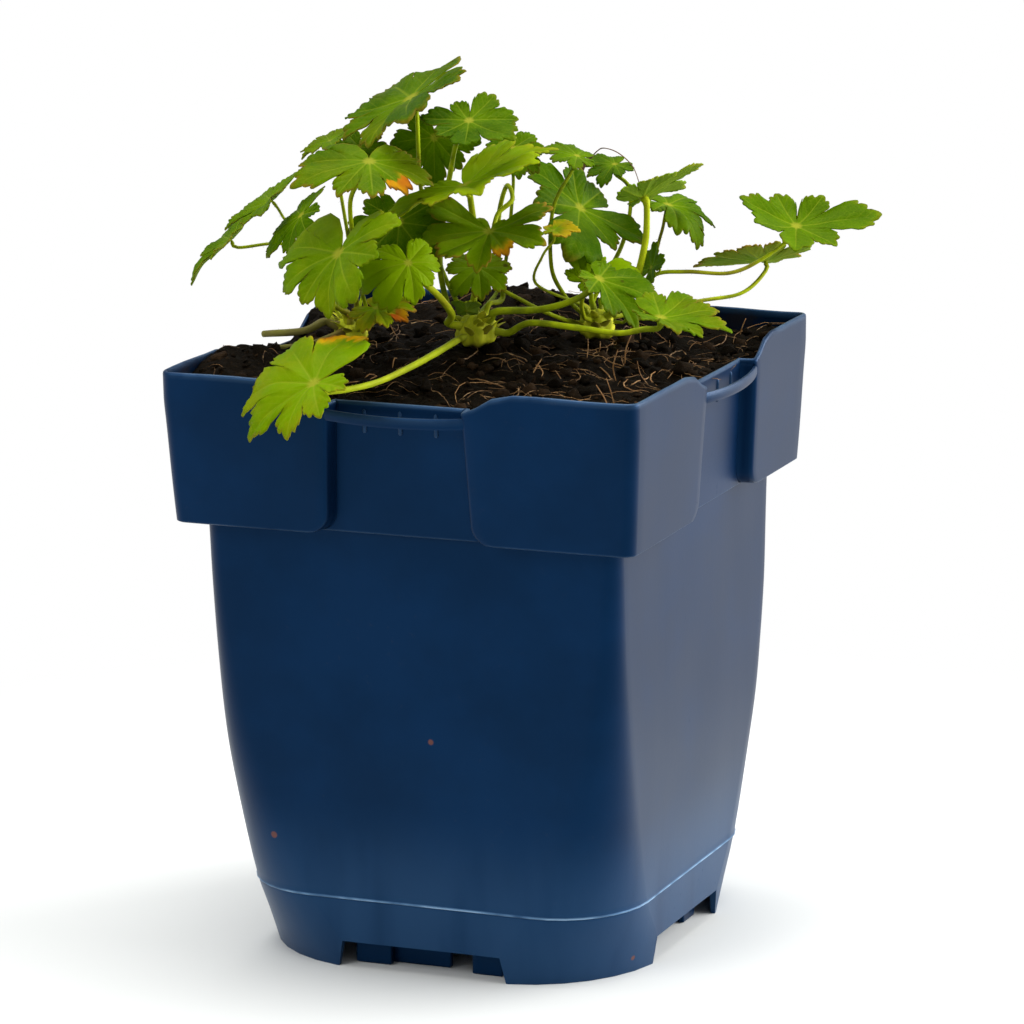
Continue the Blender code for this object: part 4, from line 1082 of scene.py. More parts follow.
def lump_template(level):
    """Points and faces of a ball, to be roughened into crumbs."""
    bm = bmesh.new()
    bmesh.ops.create_icosphere(bm, subdivisions=level, radius=1.0)
    points = [v.co.copy() for v in bm.verts]
    faces = [tuple(v.index for v in f.verts) for f in bm.faces]
    bm.free()
    return points, faces


def make_crumbs(settings, finish):
    """Loose crumbs of peat and bark lying on the surface."""
    rng = random.Random(11)
    shape = Shape()
    small, big = lump_template(1), lump_template(2)
    for n in range(settings.crumbs):
        large = n % 4 == 0
        points, faces = big if large else small
        radius = (rng.uniform(0.8, 2.6) if large else rng.uniform(0.3, 0.9)) * MM
        x, y = open_spot(rng, radius + 0.6 * MM)
        z = soil_surface(x, y, settings.grain) + radius * rng.uniform(-0.2, 0.35)
        size = Vector((rng.uniform(0.8, 1.5), rng.uniform(0.7, 1.1), rng.uniform(0.5, 0.9))) * radius
        turn = Matrix.Rotation(rng.uniform(0, math.tau), 3, "Z")
        turn = turn @ Matrix.Rotation(rng.uniform(-0.5, 0.5), 3, "X")
        seed = Vector((rng.uniform(0, 50), rng.uniform(0, 50), 0))
        moved = []
        for p in points:
            rough = 1 + 0.7 * noise.noise(p * 1.9 + seed) + 0.45 * noise.noise(p * 4.5 + seed)
            moved.append(turn @ (p * size) * rough + Vector((x, y, z)))
        shape.add(moved, faces, [(0, 0, 0)] * len(moved), (max(rng.gauss(0.05, 0.3), 0.0), 0, 0))
    crumbs = shape.build("peat_crumbs", [finish])
    settle(crumbs, "soil", "soil")


def fibre_route(rng, x, y, length, grain):
    """A curly route that creeps over the peat."""
    heading = rng.uniform(0, math.tau)
    curl = rng.gauss(0.0, 0.3)
    steps = max(5, int(length / (1.3 * MM)))
    lift = rng.uniform(0.1, 1.1) * MM
    route = []
    for i in range(steps + 1):
        arch = math.sin(math.pi * i / steps) * lift
        route.append(Vector((x, y, soil_surface(x, y, grain * 0.5) + 0.25 * MM + arch)))
        heading += curl * 0.35 + rng.gauss(0.0, 0.14)
        limit = SOIL_HALF - 1.2 * MM
        x = min(max(x + math.cos(heading) * length / steps, -limit), limit)
        y = min(max(y + math.sin(heading) * length / steps, -limit), limit)
    return route


def make_fibres(settings, finish):
    """Coir fibres lying on the peat, and a few stubs that stand up from it."""
    rng = random.Random(23)
    shape = Shape()
    for n in range(settings.fibres):
        x, y = open_spot(rng, 5 * MM)
        if x < FIBRE_EDGE and rng.random() < FIBRE_THINNING:
            continue
        radius = rng.choice((0.05, 0.06, 0.08, 0.1, 0.16)) * MM
        stands = n % STUB_EVERY == 0
        if stands:
            lean = Vector((rng.gauss(0, 0.4), rng.gauss(0, 0.4), 1.0)).normalized()
            foot = Vector((x, y, soil_surface(x, y, settings.grain) - 0.6 * MM))
            length = rng.uniform(2.5, 10.5) * MM
            side = lean.orthogonal().normalized() * rng.uniform(-0.12, 0.12) * length
            route = catmull([foot, foot + lean * length * 0.5 + side, foot + lean * length], 0.9 * MM)
            radius = rng.uniform(0.09, 0.19) * MM
            if math.hypot(x, y) < 12 * MM or x < -50 * MM:
                continue
        else:
            route = fibre_route(rng, x, y, rng.choice((4, 7, 10, 14, 20, 27)) * MM, settings.grain)
        radii = [radius * (1 - 0.5 * abs(2 * i / (len(route) - 1) - 1) ** 3) for i in range(len(route))]
        points, faces, place = tube(route, radii, 5)
        shape.add(points, faces, place, (0.9 if stands else rng.random() ** 1.3, 0, 0))
    fibres = shape.build("coir_fibres", [finish])
    settle(fibres, "soil", "soil")


# ---------------------------------------------------------------- plant


def direction(heading, rise):
    """A unit vector from its heading and rise, in radians."""
    level = math.cos(rise)
    return Vector((level * math.cos(heading), level * math.sin(heading), math.sin(rise)))


def crown_form(name):
    """Centre and half sizes of a crown, from its CAD node."""
    low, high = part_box(name)
    height = high.z - low.z
    across = (high.x - low.x) / 2
    middle = height * 0.85 / 1.85
    return Vector(((low.x + high.x) / 2, (low.y + high.y) / 2, low.z + middle)), across, height - middle


def blade_axes(turn):
    """Unit vectors of a blade: along the middle lobe, to its left, and out of the upper face."""
    heading, pitch, roll = (math.radians(a) for a in turn)
    along = direction(heading, pitch)
    level = Vector((-math.sin(heading), math.cos(heading), 0))
    raised = along.cross(level)
    left = math.cos(roll) * level + math.sin(roll) * raised
    return along, left, along.cross(left)


def blade_point(radius, angle, leaf, lift):
    """A flat point of a blade carried onto its drooping, folded form, then lifted off it."""
    length, droop, fold, _ = leaf["size"]
    along, left, up = blade_axes(leaf["turn"])
    bend = math.radians(droop)
    share = radius / (length * MM)
    reach, drop = radius, 0.0
    if abs(bend) > 1e-4:
        reach = length * MM * math.sin(bend * share) / bend
        drop = length * MM * (1 - math.cos(bend * share)) / bend
    x = reach * math.cos(angle)
    y = reach * math.sin(angle)
    crease = math.radians(fold)
    outward = math.cos(angle) * along + math.sin(angle) * left
    normal = up * math.cos(bend * share) + outward * math.sin(bend * share)
    where = x * along + y * math.cos(crease) * left + (abs(y) * math.sin(crease) - drop) * up
    return Vector(leaf["blade"]) * MM + where + normal * lift


def lobe_layout(leaf):
    """Number of the outermost lobe, counted from the middle one, and the angle between lobes."""
    lobes = leaf["size"][3]
    return lobes // 2, math.radians(LOBE_ANGLES[lobes]) * leaf["spread"]


def lobe_outline(leaf, k, rng):
    """Points of one lobe's edge: angle, radius, angle from its midrib, tilt, in order round the blade."""
    last, step = lobe_layout(leaf)
    reach = lobe_reach(leaf, k) * rng.uniform(0.98, 1.02)
    tilt = leaf["tilt"][k + last]
    toothed = leaf.get("teeth", 0.7)
    points = []
    for side in (-1, 1):
        tooth = rng.uniform(0.95, 1.04)
        beside = leaf["tilt"][k + side + last] if abs(k + side) <= last else tilt
        edge = LOBE_EDGE if side > 0 else tuple(reversed(LOBE_EDGE[1:]))
        for u, share in edge:
            rounded = min(1.0 - 0.20 * u * u, share + 0.2)
            radius = reach * (rounded + toothed * (share - rounded))
            if 0.35 < u < 0.75:
                radius *= tooth
            lean = tilt + (beside - tilt) * 0.5 * u ** 6
            points.append((step * (k + side * u / 2), radius, side * step * u / 2, lean))
    return points


def lobe_reach(leaf, k):
    """Length of a blade's lobe."""
    length, _, _, lobes = leaf["size"]
    return length * MM * LOBE_LENGTHS[lobes][abs(k)] * leaf["reach"][k + lobes // 2]


def basal_edge(leaf, side):
    """Edge from the last lobe on one side to the stalk's notch."""
    lobes = leaf["size"][3]
    last = lobes // 2
    step = math.radians(LOBE_ANGLES[lobes])
    outer = (last + 0.5) * step
    squeeze = (math.pi - outer * leaf["spread"]) / (math.pi - outer)
    full = lobe_reach(leaf, side * last) / LOBE_LENGTHS[lobes][last] * leaf.get("open", 1.0)
    points = []
    for degrees, share in BASAL_EDGE[lobes]:
        angle = math.pi - (math.pi - math.radians(degrees)) * squeeze
        points.append((side * angle, full * share, step / 2, leaf["tilt"][last + side * last]))
    return points


def blade_columns(leaf, rng):
    """Angle, edge radius, lobe-local angle and tilt of each column, round from the stalk's notch."""
    last, step = lobe_layout(leaf)
    columns = list(reversed(basal_edge(leaf, -1)))
    for k in range(-last, last + 1):
        columns += lobe_outline(leaf, k, rng)
        if k < last:
            notch = NOTCH * min(lobe_reach(leaf, k), lobe_reach(leaf, k + 1)) * rng.uniform(0.94, 1.08)
            between = (leaf["tilt"][k + last] + leaf["tilt"][k + 1 + last]) / 2
            columns.append((step * (k + 0.5), notch, step / 2, between))
    columns += basal_edge(leaf, 1)
    return columns + [(math.pi, 0.05 * leaf["size"][0] * MM, step / 2, 0.0)]


def burn_tip(shape, leaf, columns):
    """Mark the withered end of one lobe in the blade's tone."""
    light, yellow, red = leaf["tone"]
    lobe, start = leaf["burnt"]
    _, step = lobe_layout(leaf)
    for i in range(1, len(shape.points)):
        ring, column = divmod(i - 1, len(columns))
        off = abs(columns[column][0] - step * lobe) / step
        burn = smooth((ring + 1) / BLADE_RINGS, start, start + 0.4) * smooth(-off, -0.65, -0.3)
        shape.tone[i] = (light, yellow + (2 - yellow) * burn, red)


def make_blade(name, leaf, materials):
    """A blade: rings of columns from the stalk's joint out to the toothed edge, then thickened."""
    rng = random.Random("blade " + name)
    length = leaf["size"][0] * MM
    columns = blade_columns(leaf, rng)
    seed = Vector((rng.uniform(0, 90), rng.uniform(0, 90), 0))
    crimp = 1.6 if name == "young" else 1.0
    points = [blade_point(0.0, 0.0, leaf, 0.0)]
    place = [(0.0, 0.0, 0.0)]
    for ring in range(1, BLADE_RINGS + 1):
        s = (ring / BLADE_RINGS) ** 0.92
        for angle, edge, local, lean in columns:
            radius = s * s * edge + s * (1 - s) * min(0.72 * length, 1.6 * edge)
            share = radius / length
            x, y = share * math.cos(local), abs(share * math.sin(local))
            quilt = math.sin(math.pi * (x - VEIN_SLANT * y) / VEIN_STEP) ** 2 * smooth(y, 0.0, 0.05)
            flat = Vector((share * math.cos(angle), share * math.sin(angle), 0))
            lift = LOBE_CUP * crimp * y * (1 - 0.4 * share)
            lift += QUILTING * crimp * quilt * smooth(share, 0.1, 0.4)
            lift += lean * max(share - 0.15, 0.0) ** 1.4
            lift -= RIM_FALL * share ** 4
            lift += BROAD_WAVE * crimp * share * noise.noise(flat * 2.4 + seed)
            lift += EDGE_FRILL * crimp * s ** 5 * noise.noise(flat * 9 + seed)
            points.append(blade_point(radius, angle, leaf, lift * length))
            place.append((x, y, s))
    count = len(columns)
    faces = [(0, 1 + j, 1 + (j + 1) % count) for j in range(count)]
    faces += [tuple(1 + i for i in reversed(face)) for face in grid_faces(BLADE_RINGS, count)]
    shape = Shape()
    shape.add(points, faces, place, leaf["tone"])
    if "burnt" in leaf:
        burn_tip(shape, leaf, columns)
    blade = shape.build("blade_" + name, materials)
    solid = blade.modifiers.new("thickness", "SOLIDIFY")
    solid.thickness = BLADE_THICK
    solid.offset = 0.0
    solid.material_offset = 1
    solid.material_offset_rim = 0
    nodes = ["leaf_" + name] if name in LEAVES else []
    settle(blade, "yellowed_leaf" if name == "yellowed" else "leaf_blade", *nodes)


def leaf_finish(name, settings, lower):
    """A blade's face: mottled green made fresher by its light tone (partly age, partly painted light), pale
    palmate veins, ageing edges and brown flecks.
    """
    f = Finish(name)
    x, y, edge = f.note("place")
    light, yellow, red = f.note("tone")
    patch = f.noise(55.0, 3.0, 0.55)
    mottle = f.noise(260.0, 4.0, 0.6)
    # The light tone lifts the blade towards fresh green: partly its age, partly painted light
    share = f.math("ADD", f.times(f.fade(patch, 0.35, 0.68), 0.22), f.times(light, 0.92))
    share = f.math("ADD", share, f.times(f.fade(mottle, 0.4, 0.7), 0.09), clamp=True)
    colour = f.mix(share, settings.deep, settings.fresh)
    width = f.math("MULTIPLY_ADD", x, -0.012)
    width.node.inputs[2].default_value = 0.020
    main = f.fade(f.math("DIVIDE", y, width), 1.5, 0.35)
    main = f.times(main, f.fade(x, 1.05, 0.55))
    slant = f.math("DIVIDE", f.math("SUBTRACT", x, f.times(y, VEIN_SLANT)), VEIN_STEP)
    off_line = f.math("ABSOLUTE", f.math("SUBTRACT", f.math("FRACT", slant), 0.5))
    off_line = f.math("SUBTRACT", 0.5, off_line)
    side = f.times(f.fade(off_line, 0.11, 0.02), f.fade(y, 0.26, 0.05))
    side = f.times(side, f.fade(x, 0.12, 0.28))
    net = f.fade(f.cells(950.0, "DISTANCE_TO_EDGE"), 0.09, 0.01)
    near = f.math("ADD", f.times(x, x), f.times(y, y))
    heart = f.fade(near, 0.014, 0.0008)
    glow = f.fade(near, 0.22, 0.0)
    if lower:
        colour = f.mix(0.72, colour, settings.under)
    colour = f.stain(colour, glow, 0.22, settings.fresh)
    colour = f.stain(colour, net, 0.10, settings.vein)
    colour = f.stain(colour, side, 0.20 if lower else 0.12, settings.vein)
    colour = f.stain(colour, main, 0.45 if lower else 0.34, settings.vein)
    colour = f.stain(colour, heart, 0.7, BLADE_HEART)
    ageing = f.times(yellow, f.fade(f.noise(75.0, 4.0, 0.65), 0.40, 0.60))
    ageing = f.times(ageing, f.fade(edge, 0.2, 0.85))
    colour = f.stain(colour, ageing, 0.9, settings.yellow)
    rim = f.times(f.fade(edge, 0.93, 1.0), f.fade(f.noise(120.0, 3.0), 0.40, 0.55))
    rim = f.times(rim, f.math("ADD", 0.25, red))
    colour = f.mix(f.times(rim, 0.8, clamp=True), colour, BLADE_RIM)
    burn = f.fade(f.math("ADD", yellow, f.times(mottle, 0.5)), 1.25, 1.65)
    hot = f.mix(f.fade(patch, 0.38, 0.58), *WITHERED)
    hot = f.stain(hot, f.fade(edge, 0.9, 1.0), 0.6, SCORCHED)
    colour = f.mix(burn, colour, hot)
    fleck = f.fade(f.cells(150.0), 0.16, 0.07)
    fleck = f.times(fleck, f.fade(f.noise(48.0, 2.0), 0.60, 0.66))
    colour = f.stain(colour, fleck, 0.8, BLADE_FLECK)
    sheet = f.principled({"Base Color": colour, "Roughness": 0.62 if lower else 0.44,
                          "Specular IOR Level": 0.04 if lower else 0.06, "Specular Tint": (1.0, 1.0, 0.08)})
    through = f.mix(1.0, colour, (1.0, 1.0, 0.55), "MULTIPLY")
    through = f.mix(0.35, through, settings.fresh)
    clear = f.node("BsdfTranslucent", {"Color": through}).outputs[0]
    both = f.node("MixShader", {0: 0.42, 1: sheet, 2: clear}).outputs[0]
    return f.done(both)


def stalk_finish(settings):
    """Fresh to olive green stalks, brown where they are old, with a red flush."""
    f = Finish("leaf_stalk")
    along = f.note("place")[0]
    light, old, _ = f.note("tone")
    streak = f.noise(160.0, 4.0, 0.6)
    colour = f.mix(f.fade(streak, 0.36, 0.66), STALK_OLIVE, settings.stalk)
    # Paler where the light tone is up: partly the stalk's age, partly painted light taken from its blade
    colour = f.stain(colour, light, 0.6, STALK_PALE)
    base = f.fade(along, 0.16, 0.0)
    colour = f.stain(colour, base, 0.35, STALK_BASE)
    colour = f.mix(f.times(old, 0.85, clamp=True), colour, STALK_OLD)
    colour = f.mix(f.fade(old, 1.1, 1.3), colour, STALK_DRY)
    flush = f.times(f.fade(f.noise(38.0, 2.0), 0.58, 0.70), 0.35)
    colour = f.mix(flush, colour, STALK_FLUSH)
    normal = f.bump(f.noise(300.0, 1.0, 0.5), 0.06 * MM, 0.5)
    return f.done(f.principled({"Base Color": colour, "Roughness": 0.45, "Normal": normal,
                                "Specular IOR Level": 0.08, "Specular Tint": (1.0, 1.0, 0.3),
                                "Subsurface Weight": 0.12,
                                "Subsurface Radius": (0.6, 1.0, 0.15), "Subsurface Scale": 0.8 * MM}))


def crown_finish():
    """Yellow-green swellings, painted lighter against the shade of the leaves, with brown scales, earthy at
    the foot.
    """
    f = Finish("crown")
    rise = f.note("place")[2]
    tone = f.note("tone")[0]
    vein = f.noise(260.0, 4.0, 0.6, (1.0, 1.0, 0.3))
    # The greens are partly painted light, lifted against the shade the leaves cast on the crown
    colour = f.mix(f.fade(vein, 0.35, 0.65), *CROWN_GREENS_PAINTED_LIGHTER)
    colour = f.stain(colour, tone, 0.75, SCALE_BROWN)
    colour = f.mix(f.fade(rise, 0.26, 0.0), colour, CROWN_FOOT)
    normal = f.bump(f.noise(420.0, 4.0, 0.65, (1.0, 1.0, 0.35)), 0.5 * MM, 0.7)
    return f.done(f.principled({"Base Color": colour, "Roughness": 0.5, "Normal": normal,
                                "Specular IOR Level": 0.12}))


def stalk_start(crown, heading, rise, radius):
    """Three points: inside the crown, at its skin, and a little further out."""
    centre, across, height = crown_form(crown)
    heading, rise = math.radians(heading), math.radians(rise)
    out = direction(heading, rise)
    skin = centre + Vector((out.x * across, out.y * across, out.z * height))
    start = skin + out * (0.6 * MM + 0.5 * radius * MM)
    return [centre + (skin - centre) * 0.45, start, start + out * STALK_LEAD]


def stalk_end(leaf):
    """Two points leading up to the blade."""
    up = blade_axes(leaf["turn"])[2]
    end = Vector(leaf["blade"]) * MM - up * 0.15 * MM
    return [end - up * STALK_LEAD, end]


def hairs(shape, route, radii, rng, count, tone):
    """Short fine hairs that stand off a stalk."""
    for _ in range(count):
        i = rng.randrange(2, len(route) - 1)
        ahead = (route[i] - route[i - 1]).normalized()
        side = Matrix.Rotation(rng.uniform(0, math.tau), 3, ahead) @ ahead.orthogonal().normalized()
        foot = route[i] + side * radii[i] * 0.85
        tip = foot + (side + ahead * rng.uniform(-0.3, 0.1)) * rng.uniform(0.35, 0.8) * MM
        across = side.cross(ahead).normalized() * HAIR_HALF * MM
        along = ahead * HAIR_HALF * MM
        points = [foot + across, foot - across + along, foot - across - along, tip]
        shape.add(points, [(0, 2, 1), (0, 1, 3), (1, 2, 3), (2, 0, 3)], [(0.5, 0, 0)] * 4, tone)


def make_stalk(name, anchors, radius, finish, tone, nodes, cut=False):
    """A tapering ridged stalk with hairs; a cut one doesn't swell at its end."""
    rng = random.Random("stalk " + name)
    route = catmull(anchors, 0.9 * MM)
    lengths = [0.0]
    for a, b in zip(route, route[1:]):
        lengths.append(lengths[-1] + (b - a).length)
    total = lengths[-1]
    radii = []
    for i, reach in enumerate(lengths):
        size = radius * (0.62 + 0.32 * (radius / MM - 0.7)) * (1 + (STALK_TAPER - 1) * reach / total)
        size *= 1 + 0.5 * smooth(5 * MM - reach, 0.0, 5 * MM)
        if not cut:
            size *= 1 + 0.3 * smooth(reach, total - 2.5 * MM, total - 0.8 * MM)
            size *= 1 - 0.5 * smooth(reach, total - 0.7 * MM, total)
        size *= 1 + 0.07 * noise.noise(route[i] * 160)
        radii.append(size)
    for i in range(1, len(route) - 1):
        sway = Vector((noise.noise(route[i] * 60), noise.noise(route[i] * 60 + Vector((9, 0, 0))), 0))
        ends = min(lengths[i], total - lengths[i])
        route[i] += sway * 0.5 * MM * smooth(ends, 0.0, 8 * MM)
    points, faces, place = tube(route, radii, STALK_SIDES)
    for i, p in enumerate(points):
        centre = route[i // STALK_SIDES]
        ridge = 1 + 0.05 * math.cos(4 * math.tau * (i % STALK_SIDES) / STALK_SIDES)
        points[i] = centre + (p - centre) * ridge
    shape = Shape()
    shape.add(points, faces, place, tone)
    hairs(shape, route, radii, rng, int(total / (0.55 * MM)), tone)
    stalk = shape.build("petiole_" + name, [finish])
    settle(stalk, "leaf_stalk", *nodes)


def make_threads(finish):
    """The dried flower stalk that has curled over onto the leaves."""
    shape = Shape()
    for (start, end), anchors in THREADS:
        route = catmull([Vector(p) * MM for p in anchors], 0.6 * MM)
        count = len(route) - 1
        radii = [(start + (end - start) * i / count) * MM * (1 + 0.25 * noise.noise(p * 400))
                 for i, p in enumerate(route)]
        points, faces, place = tube(route, radii, 8)
        shape.add(points, faces, place, (0.0, 1.4, 0.0))
    threads = shape.build("dried_threads", [finish])
    settle(threads, "leaf_stalk")


def scale_leaf(shape, foot, out, up, length, width, tone):
    """A pointed stipule: a thin curved scale that leans off the crown."""
    side = out.cross(up).normalized()
    rows = 6
    points, place = [], []
    for i in range(rows + 1):
        t = i / rows
        bend = out * (0.25 * t + 0.45 * t * t) + up * (t - 0.25 * t * t)
        centre = foot + bend * length
        half = width / 2 * (math.sin(math.pi * (0.28 + 0.72 * t)) + 0.02)
        for a in (-1, -0.5, 0, 0.5, 1):
            cup = out * (a * a) * -0.3 * half
            points.append(centre + side * a * half + cup)
            place.append((t, abs(a), 0.35 + 0.65 * t))
    front = len(points)
    points += [p - out * 0.25 * MM for p in points]
    place += place[:front]
    faces = []
    for i in range(rows):
        for j in range(4):
            a = i * 5 + j
            quad = (a, a + 1, a + 6, a + 5)
            faces.append(quad)
            faces.append(tuple(front + k for k in reversed(quad)))
    rim = list(range(5)) + [i * 5 + 4 for i in range(1, rows + 1)]
    rim += [rows * 5 + j for j in (3, 2, 1, 0)] + [i * 5 for i in range(rows - 1, 0, -1)]
    for a, b in zip(rim, rim[1:] + rim[:1]):
        faces.append((b, a, front + a, front + b))
    shape.add(points, faces, place, tone)


def make_crown(name, finish):
    """A ribbed swelling with stipules and papery scales round it."""
    rng = random.Random("crown " + name)
    centre, across, rise = crown_form(name)
    shape = Shape()
    rows, columns = 18, 36
    points, place = [], []
    for i in range(rows + 1):
        lat = math.pi * (i / rows - 0.5)
        for j in range(columns):
            lon = math.tau * j / columns
            out = Vector((math.cos(lon) * math.cos(lat), math.sin(lon) * math.cos(lat), math.sin(lat)))
            rib = 1 + 0.09 * math.cos(7 * lon + 1.3) * math.cos(lat)
            rib += 0.16 * noise.noise(out * 2.2 + centre * 900)
            rib += 0.06 * noise.noise(out * 7)
            p = Vector((out.x * across, out.y * across, out.z * rise)) * rib
            if out.z < 0:
                p.x *= 1 - 0.25 * out.z
                p.y *= 1 - 0.25 * out.z
            points.append(centre + p)
            place.append((0, 0, (out.z + 1) / 2))
    shape.add(points, capped_faces(rows + 1, columns), place, (0.0, 0, 0))
    for n in range(CROWN_SCALES):
        lon = math.tau * (n + rng.uniform(-0.3, 0.3)) * 0.382
        lat = rng.uniform(-0.35, 0.75)
        out = Vector((math.cos(lon), math.sin(lon), 0))
        foot = centre + Vector((out.x * across * math.cos(lat), out.y * across * math.cos(lat),
                                math.sin(lat) * rise)) * 0.92
        brown = rng.uniform(0.5, 1.0) if lat < 0 else rng.uniform(0.0, 0.35)
        up = (Vector((0, 0, 1)) + out * rng.uniform(-0.1, 0.6)).normalized()
        length = rng.uniform(2.8, 5.2) * MM
        width = rng.uniform(1.8, 2.8) * MM
        scale_leaf(shape, foot, out, up, length, width, (brown, 0, 0))
    crown = shape.build(name + "_swelling", [finish])
    settle(crown, "crown", name)


# ---------------------------------------------------------------- stage


def make_camera():
    """The view down onto the front face from a little to its right."""
    data = bpy.data.cameras.new("camera")
    data.sensor_width = 36
    data.lens = CAMERA_LENS
    data.clip_start = 0.05
    data.clip_end = 50
    camera = bpy.data.objects.new("camera", data)
    turn = Matrix((CAMERA_RIGHT, CAMERA_UP, -CAMERA_AHEAD)).transposed().to_4x4()
    camera.matrix_world = Matrix.Translation(CAMERA_PLACE) @ turn
    bpy.context.scene.collection.objects.link(camera)
    bpy.context.scene.camera = camera


def softbox(name, place, size, power):
    """A white rectangle of light turned to the middle of the pot, hidden from the camera."""
    data = bpy.data.lights.new(name, "AREA")
    data.shape = "RECTANGLE"
    data.size, data.size_y = size
    data.energy = power
    light = bpy.data.objects.new(name, data)
    light.location = place
    light.rotation_euler = (Vector(LIGHT_AIM) - Vector(place)).to_track_quat("-Z", "Y").to_euler()
    light.visible_camera = False
    bpy.context.scene.collection.objects.link(light)


def make_floor(settings):
    """A wide flat pale floor that fades into the white behind it."""
    shape = Shape()
    rows, columns = 24, 64
    points = []
    for i in range(rows + 1):
        radius = 6.0 * (i / rows) ** 2 + 0.02
        for j in range(columns):
            angle = math.tau * j / columns
            points.append(Vector((radius * math.cos(angle), radius * math.sin(angle), 0.0)))
    faces = grid_faces(rows + 1, columns) + [tuple(range(columns))]
    shape.add(points, [tuple(reversed(face)) for face in faces], [(0, 0, 0)] * len(points), (0, 0, 0))
    f = Finish("studio_floor")
    away = f.node("VectorMath", {0: f.spot}, operation="LENGTH").outputs["Value"]
    tint = f.mix(f.noise(3.0, 2.0), settings.floor, tuple(0.99 * v for v in settings.floor))
    near = f.principled({"Base Color": tint, "Roughness": 0.9, "Specular IOR Level": 0.1})
    far = f.node("Emission", {"Color": (1.0, 1.0, 1.0), "Strength": 1.0}).outputs[0]
    both = f.node("MixShader", {0: f.fade(away, 0.11, 0.30), 1: near, 2: far}).outputs[0]
    floor = shape.build("studio_floor", [f.done(both)])


def make_world(settings):
    """White behind the object; a soft grey for the light from all round."""
    world = bpy.data.worlds.new("studio")
    bpy.context.scene.world = world
    world.use_nodes = True
    tree = world.node_tree
    shown = tree.nodes["Background"]
    shown.inputs["Color"].default_value = (1, 1, 1, 1)
    shown.inputs["Strength"].default_value = 1.0
    soft = tree.nodes.new("ShaderNodeBackground")
    soft.inputs["Color"].default_value = (0.95, 0.97, 1.0, 1)
    soft.inputs["Strength"].default_value = settings.ambient
    path = tree.nodes.new("ShaderNodeLightPath")
    pick = tree.nodes.new("ShaderNodeMixShader")
    tree.links.new(path.outputs["Is Camera Ray"], pick.inputs[0])
    tree.links.new(soft.outputs[0], pick.inputs[1])
    tree.links.new(shown.outputs[0], pick.inputs[2])
    tree.links.new(pick.outputs[0], tree.nodes["World Output"].inputs["Surface"])


# ---------------------------------------------------------------- operators


class GERANIUM_OT_pot(bpy.types.Operator):
    """Build the moulded pot with its label straps and foot"""

    bl_idname = "geranium.pot"
    bl_label = "Pot"

    def execute(self, context):
        make_pot(context.scene.geranium_pot)
        return {"FINISHED"}


class GERANIUM_OT_soil(bpy.types.Operator):
    """Fill the pot with peat, crumbs and coir fibres"""

    bl_idname = "geranium.soil"
    bl_label = "Peat and fibres"

    def execute(self, context):
        settings = context.scene.geranium_soil
        peat = soil_finish(settings)
        make_peat(settings, peat)
        make_crumbs(settings, peat)
        make_fibres(settings, coir_finish(settings))
        return {"FINISHED"}


class GERANIUM_OT_crowns(bpy.types.Operator):
    """Grow the crowns at the foot of the stalks"""

    bl_idname = "geranium.crowns"
    bl_label = "Crowns"

    def execute(self, context):
        finish = crown_finish()
        for name in ("crown_middle", "crown_right", "crown_left"):
            make_crown(name, finish)
        return {"FINISHED"}


class GERANIUM_OT_stalks(bpy.types.Operator):
    """Run a stalk from its crown to each blade, and add the old stalks"""

    bl_idname = "geranium.stalks"
    bl_label = "Leaf stalks"

    def execute(self, context):
        finish = stalk_finish(context.scene.geranium_leaf)
        for name, leaf in {**LEAVES, **REAR_LEAVES}.items():
            if leaf["stalk"]:
                via = [Vector(p) * MM for p in leaf["via"]]
                anchors = stalk_start(*leaf["stalk"]) + via + stalk_end(leaf)
                # The stalk takes its blade's light tone, which is partly painted light
                tone = (leaf["tone"][0], 0.0, 0.0)
                nodes = ["stalk_" + name] if name in LEAVES else []
                make_stalk(name, anchors, leaf["stalk"][3] * MM, finish, tone, nodes)
        for name, (start, via) in OLD_STALKS.items():
            anchors = stalk_start(*start) + [Vector(p) * MM for p in via]
            make_stalk(name, anchors, start[3] * MM, finish, (0.0, 1.0, 0.0), ["stalk_" + name], True)
        make_threads(finish)
        return {"FINISHED"}


class GERANIUM_OT_leaves(bpy.types.Operator):
    """Unfold the leaf blades"""

    bl_idname = "geranium.leaves"
    bl_label = "Leaf blades"

    def execute(self, context):
        settings = context.scene.geranium_leaf
        faces = [leaf_finish("leaf_upper", settings, False), leaf_finish("leaf_lower", settings, True)]
        for name, leaf in LEAVES.items():
            low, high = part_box("leaf_" + name)
            foot = Vector(leaf["blade"]) * MM
            if any(foot[i] < low[i] - MM or foot[i] > high[i] + MM for i in range(3)):
                raise ValueError(f"the table's place for {name} is off its CAD node")
            make_blade(name, leaf, faces)
        for name, leaf in REAR_LEAVES.items():
            make_blade(name, leaf, faces)
        return {"FINISHED"}


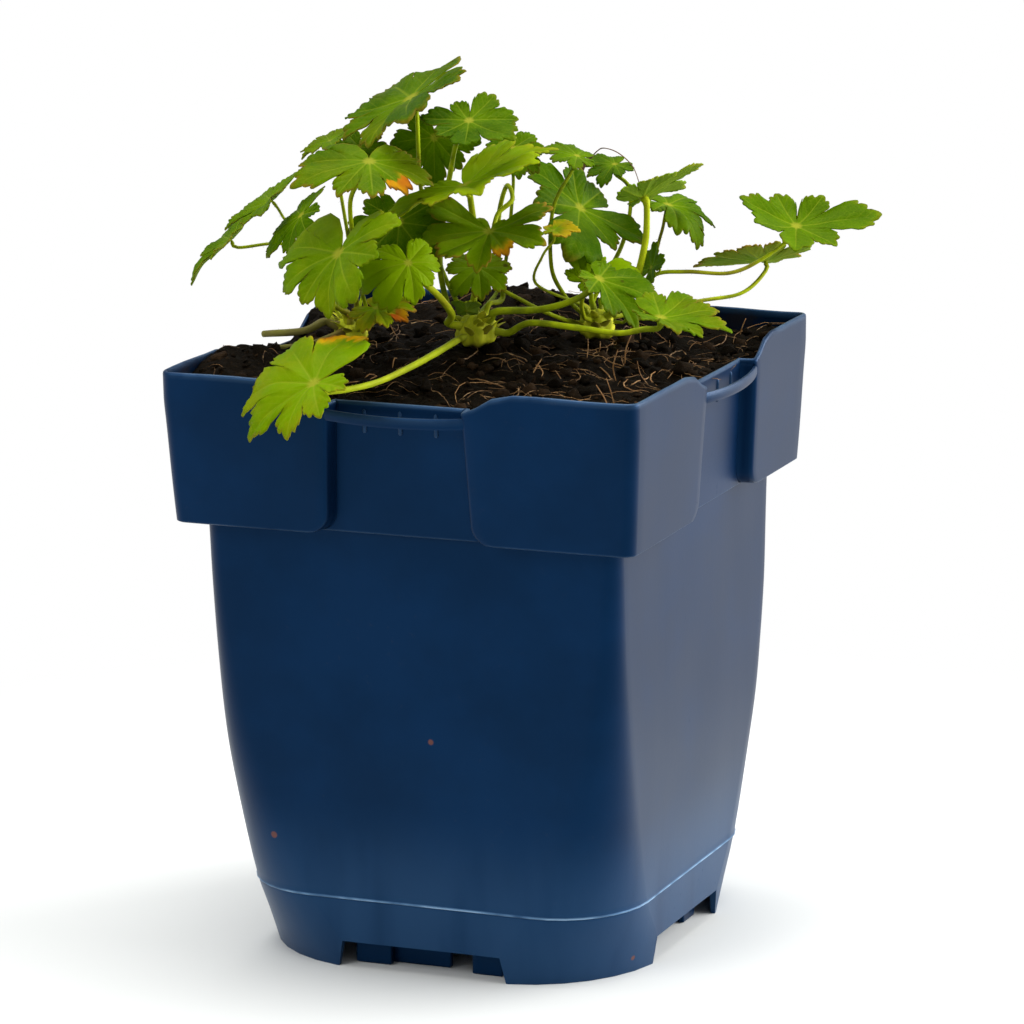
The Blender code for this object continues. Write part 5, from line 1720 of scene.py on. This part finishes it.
class GERANIUM_OT_stage(bpy.types.Operator):
    """Set the floor, the light and the camera"""

    bl_idname = "geranium.stage"
    bl_label = "Stage"

    def execute(self, context):
        settings = context.scene.geranium_stage
        make_floor(settings)
        make_world(settings)
        for name, (place, size, power) in SOFTBOXES.items():
            softbox(name, place, size, getattr(settings, power))
        make_camera()
        context.scene.view_settings.view_transform = "Standard"
        return {"FINISHED"}


class GERANIUM_PT_panel(bpy.types.Panel):
    """Sizes, colours and build steps of the potted geranium"""

    bl_idname = "GERANIUM_PT_panel"
    bl_label = "Potted geranium"
    bl_space_type = "VIEW_3D"
    bl_region_type = "UI"
    bl_category = "Geranium"

    def draw(self, context):
        layout = self.layout
        for title, attribute in SETTINGS_SHOWN:
            settings = getattr(context.scene, attribute)
            box = layout.box()
            box.label(text=title)
            for name in settings.__annotations__:
                box.prop(settings, name)
        for step in STEPS:
            layout.operator(step.bl_idname)


SETTINGS_SHOWN = (("Pot", "geranium_pot"), ("Soil", "geranium_soil"), ("Leaves", "geranium_leaf"),
                  ("Stage", "geranium_stage"))
STEPS = (GERANIUM_OT_pot, GERANIUM_OT_soil, GERANIUM_OT_crowns, GERANIUM_OT_stalks, GERANIUM_OT_leaves,
         GERANIUM_OT_stage)
GROUPS = {"geranium_pot": PotSettings, "geranium_soil": SoilSettings, "geranium_leaf": LeafSettings,
          "geranium_stage": StageSettings}


def register():
    for group in GROUPS.values():
        bpy.utils.register_class(group)
    for name, group in GROUPS.items():
        setattr(bpy.types.Scene, name, PointerProperty(type=group))
    for step in STEPS:
        bpy.utils.register_class(step)
    bpy.utils.register_class(GERANIUM_PT_panel)


def unregister():
    bpy.utils.unregister_class(GERANIUM_PT_panel)
    for step in reversed(STEPS):
        bpy.utils.unregister_class(step)
    for name, group in GROUPS.items():
        delattr(bpy.types.Scene, name)
        bpy.utils.unregister_class(group)


def main():
    register()
    bpy.ops.geranium.pot()
    bpy.ops.geranium.soil()
    bpy.ops.geranium.crowns()
    bpy.ops.geranium.stalks()
    bpy.ops.geranium.leaves()
    bpy.ops.geranium.stage()
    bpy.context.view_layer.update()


if __name__ == "__main__":
    main()
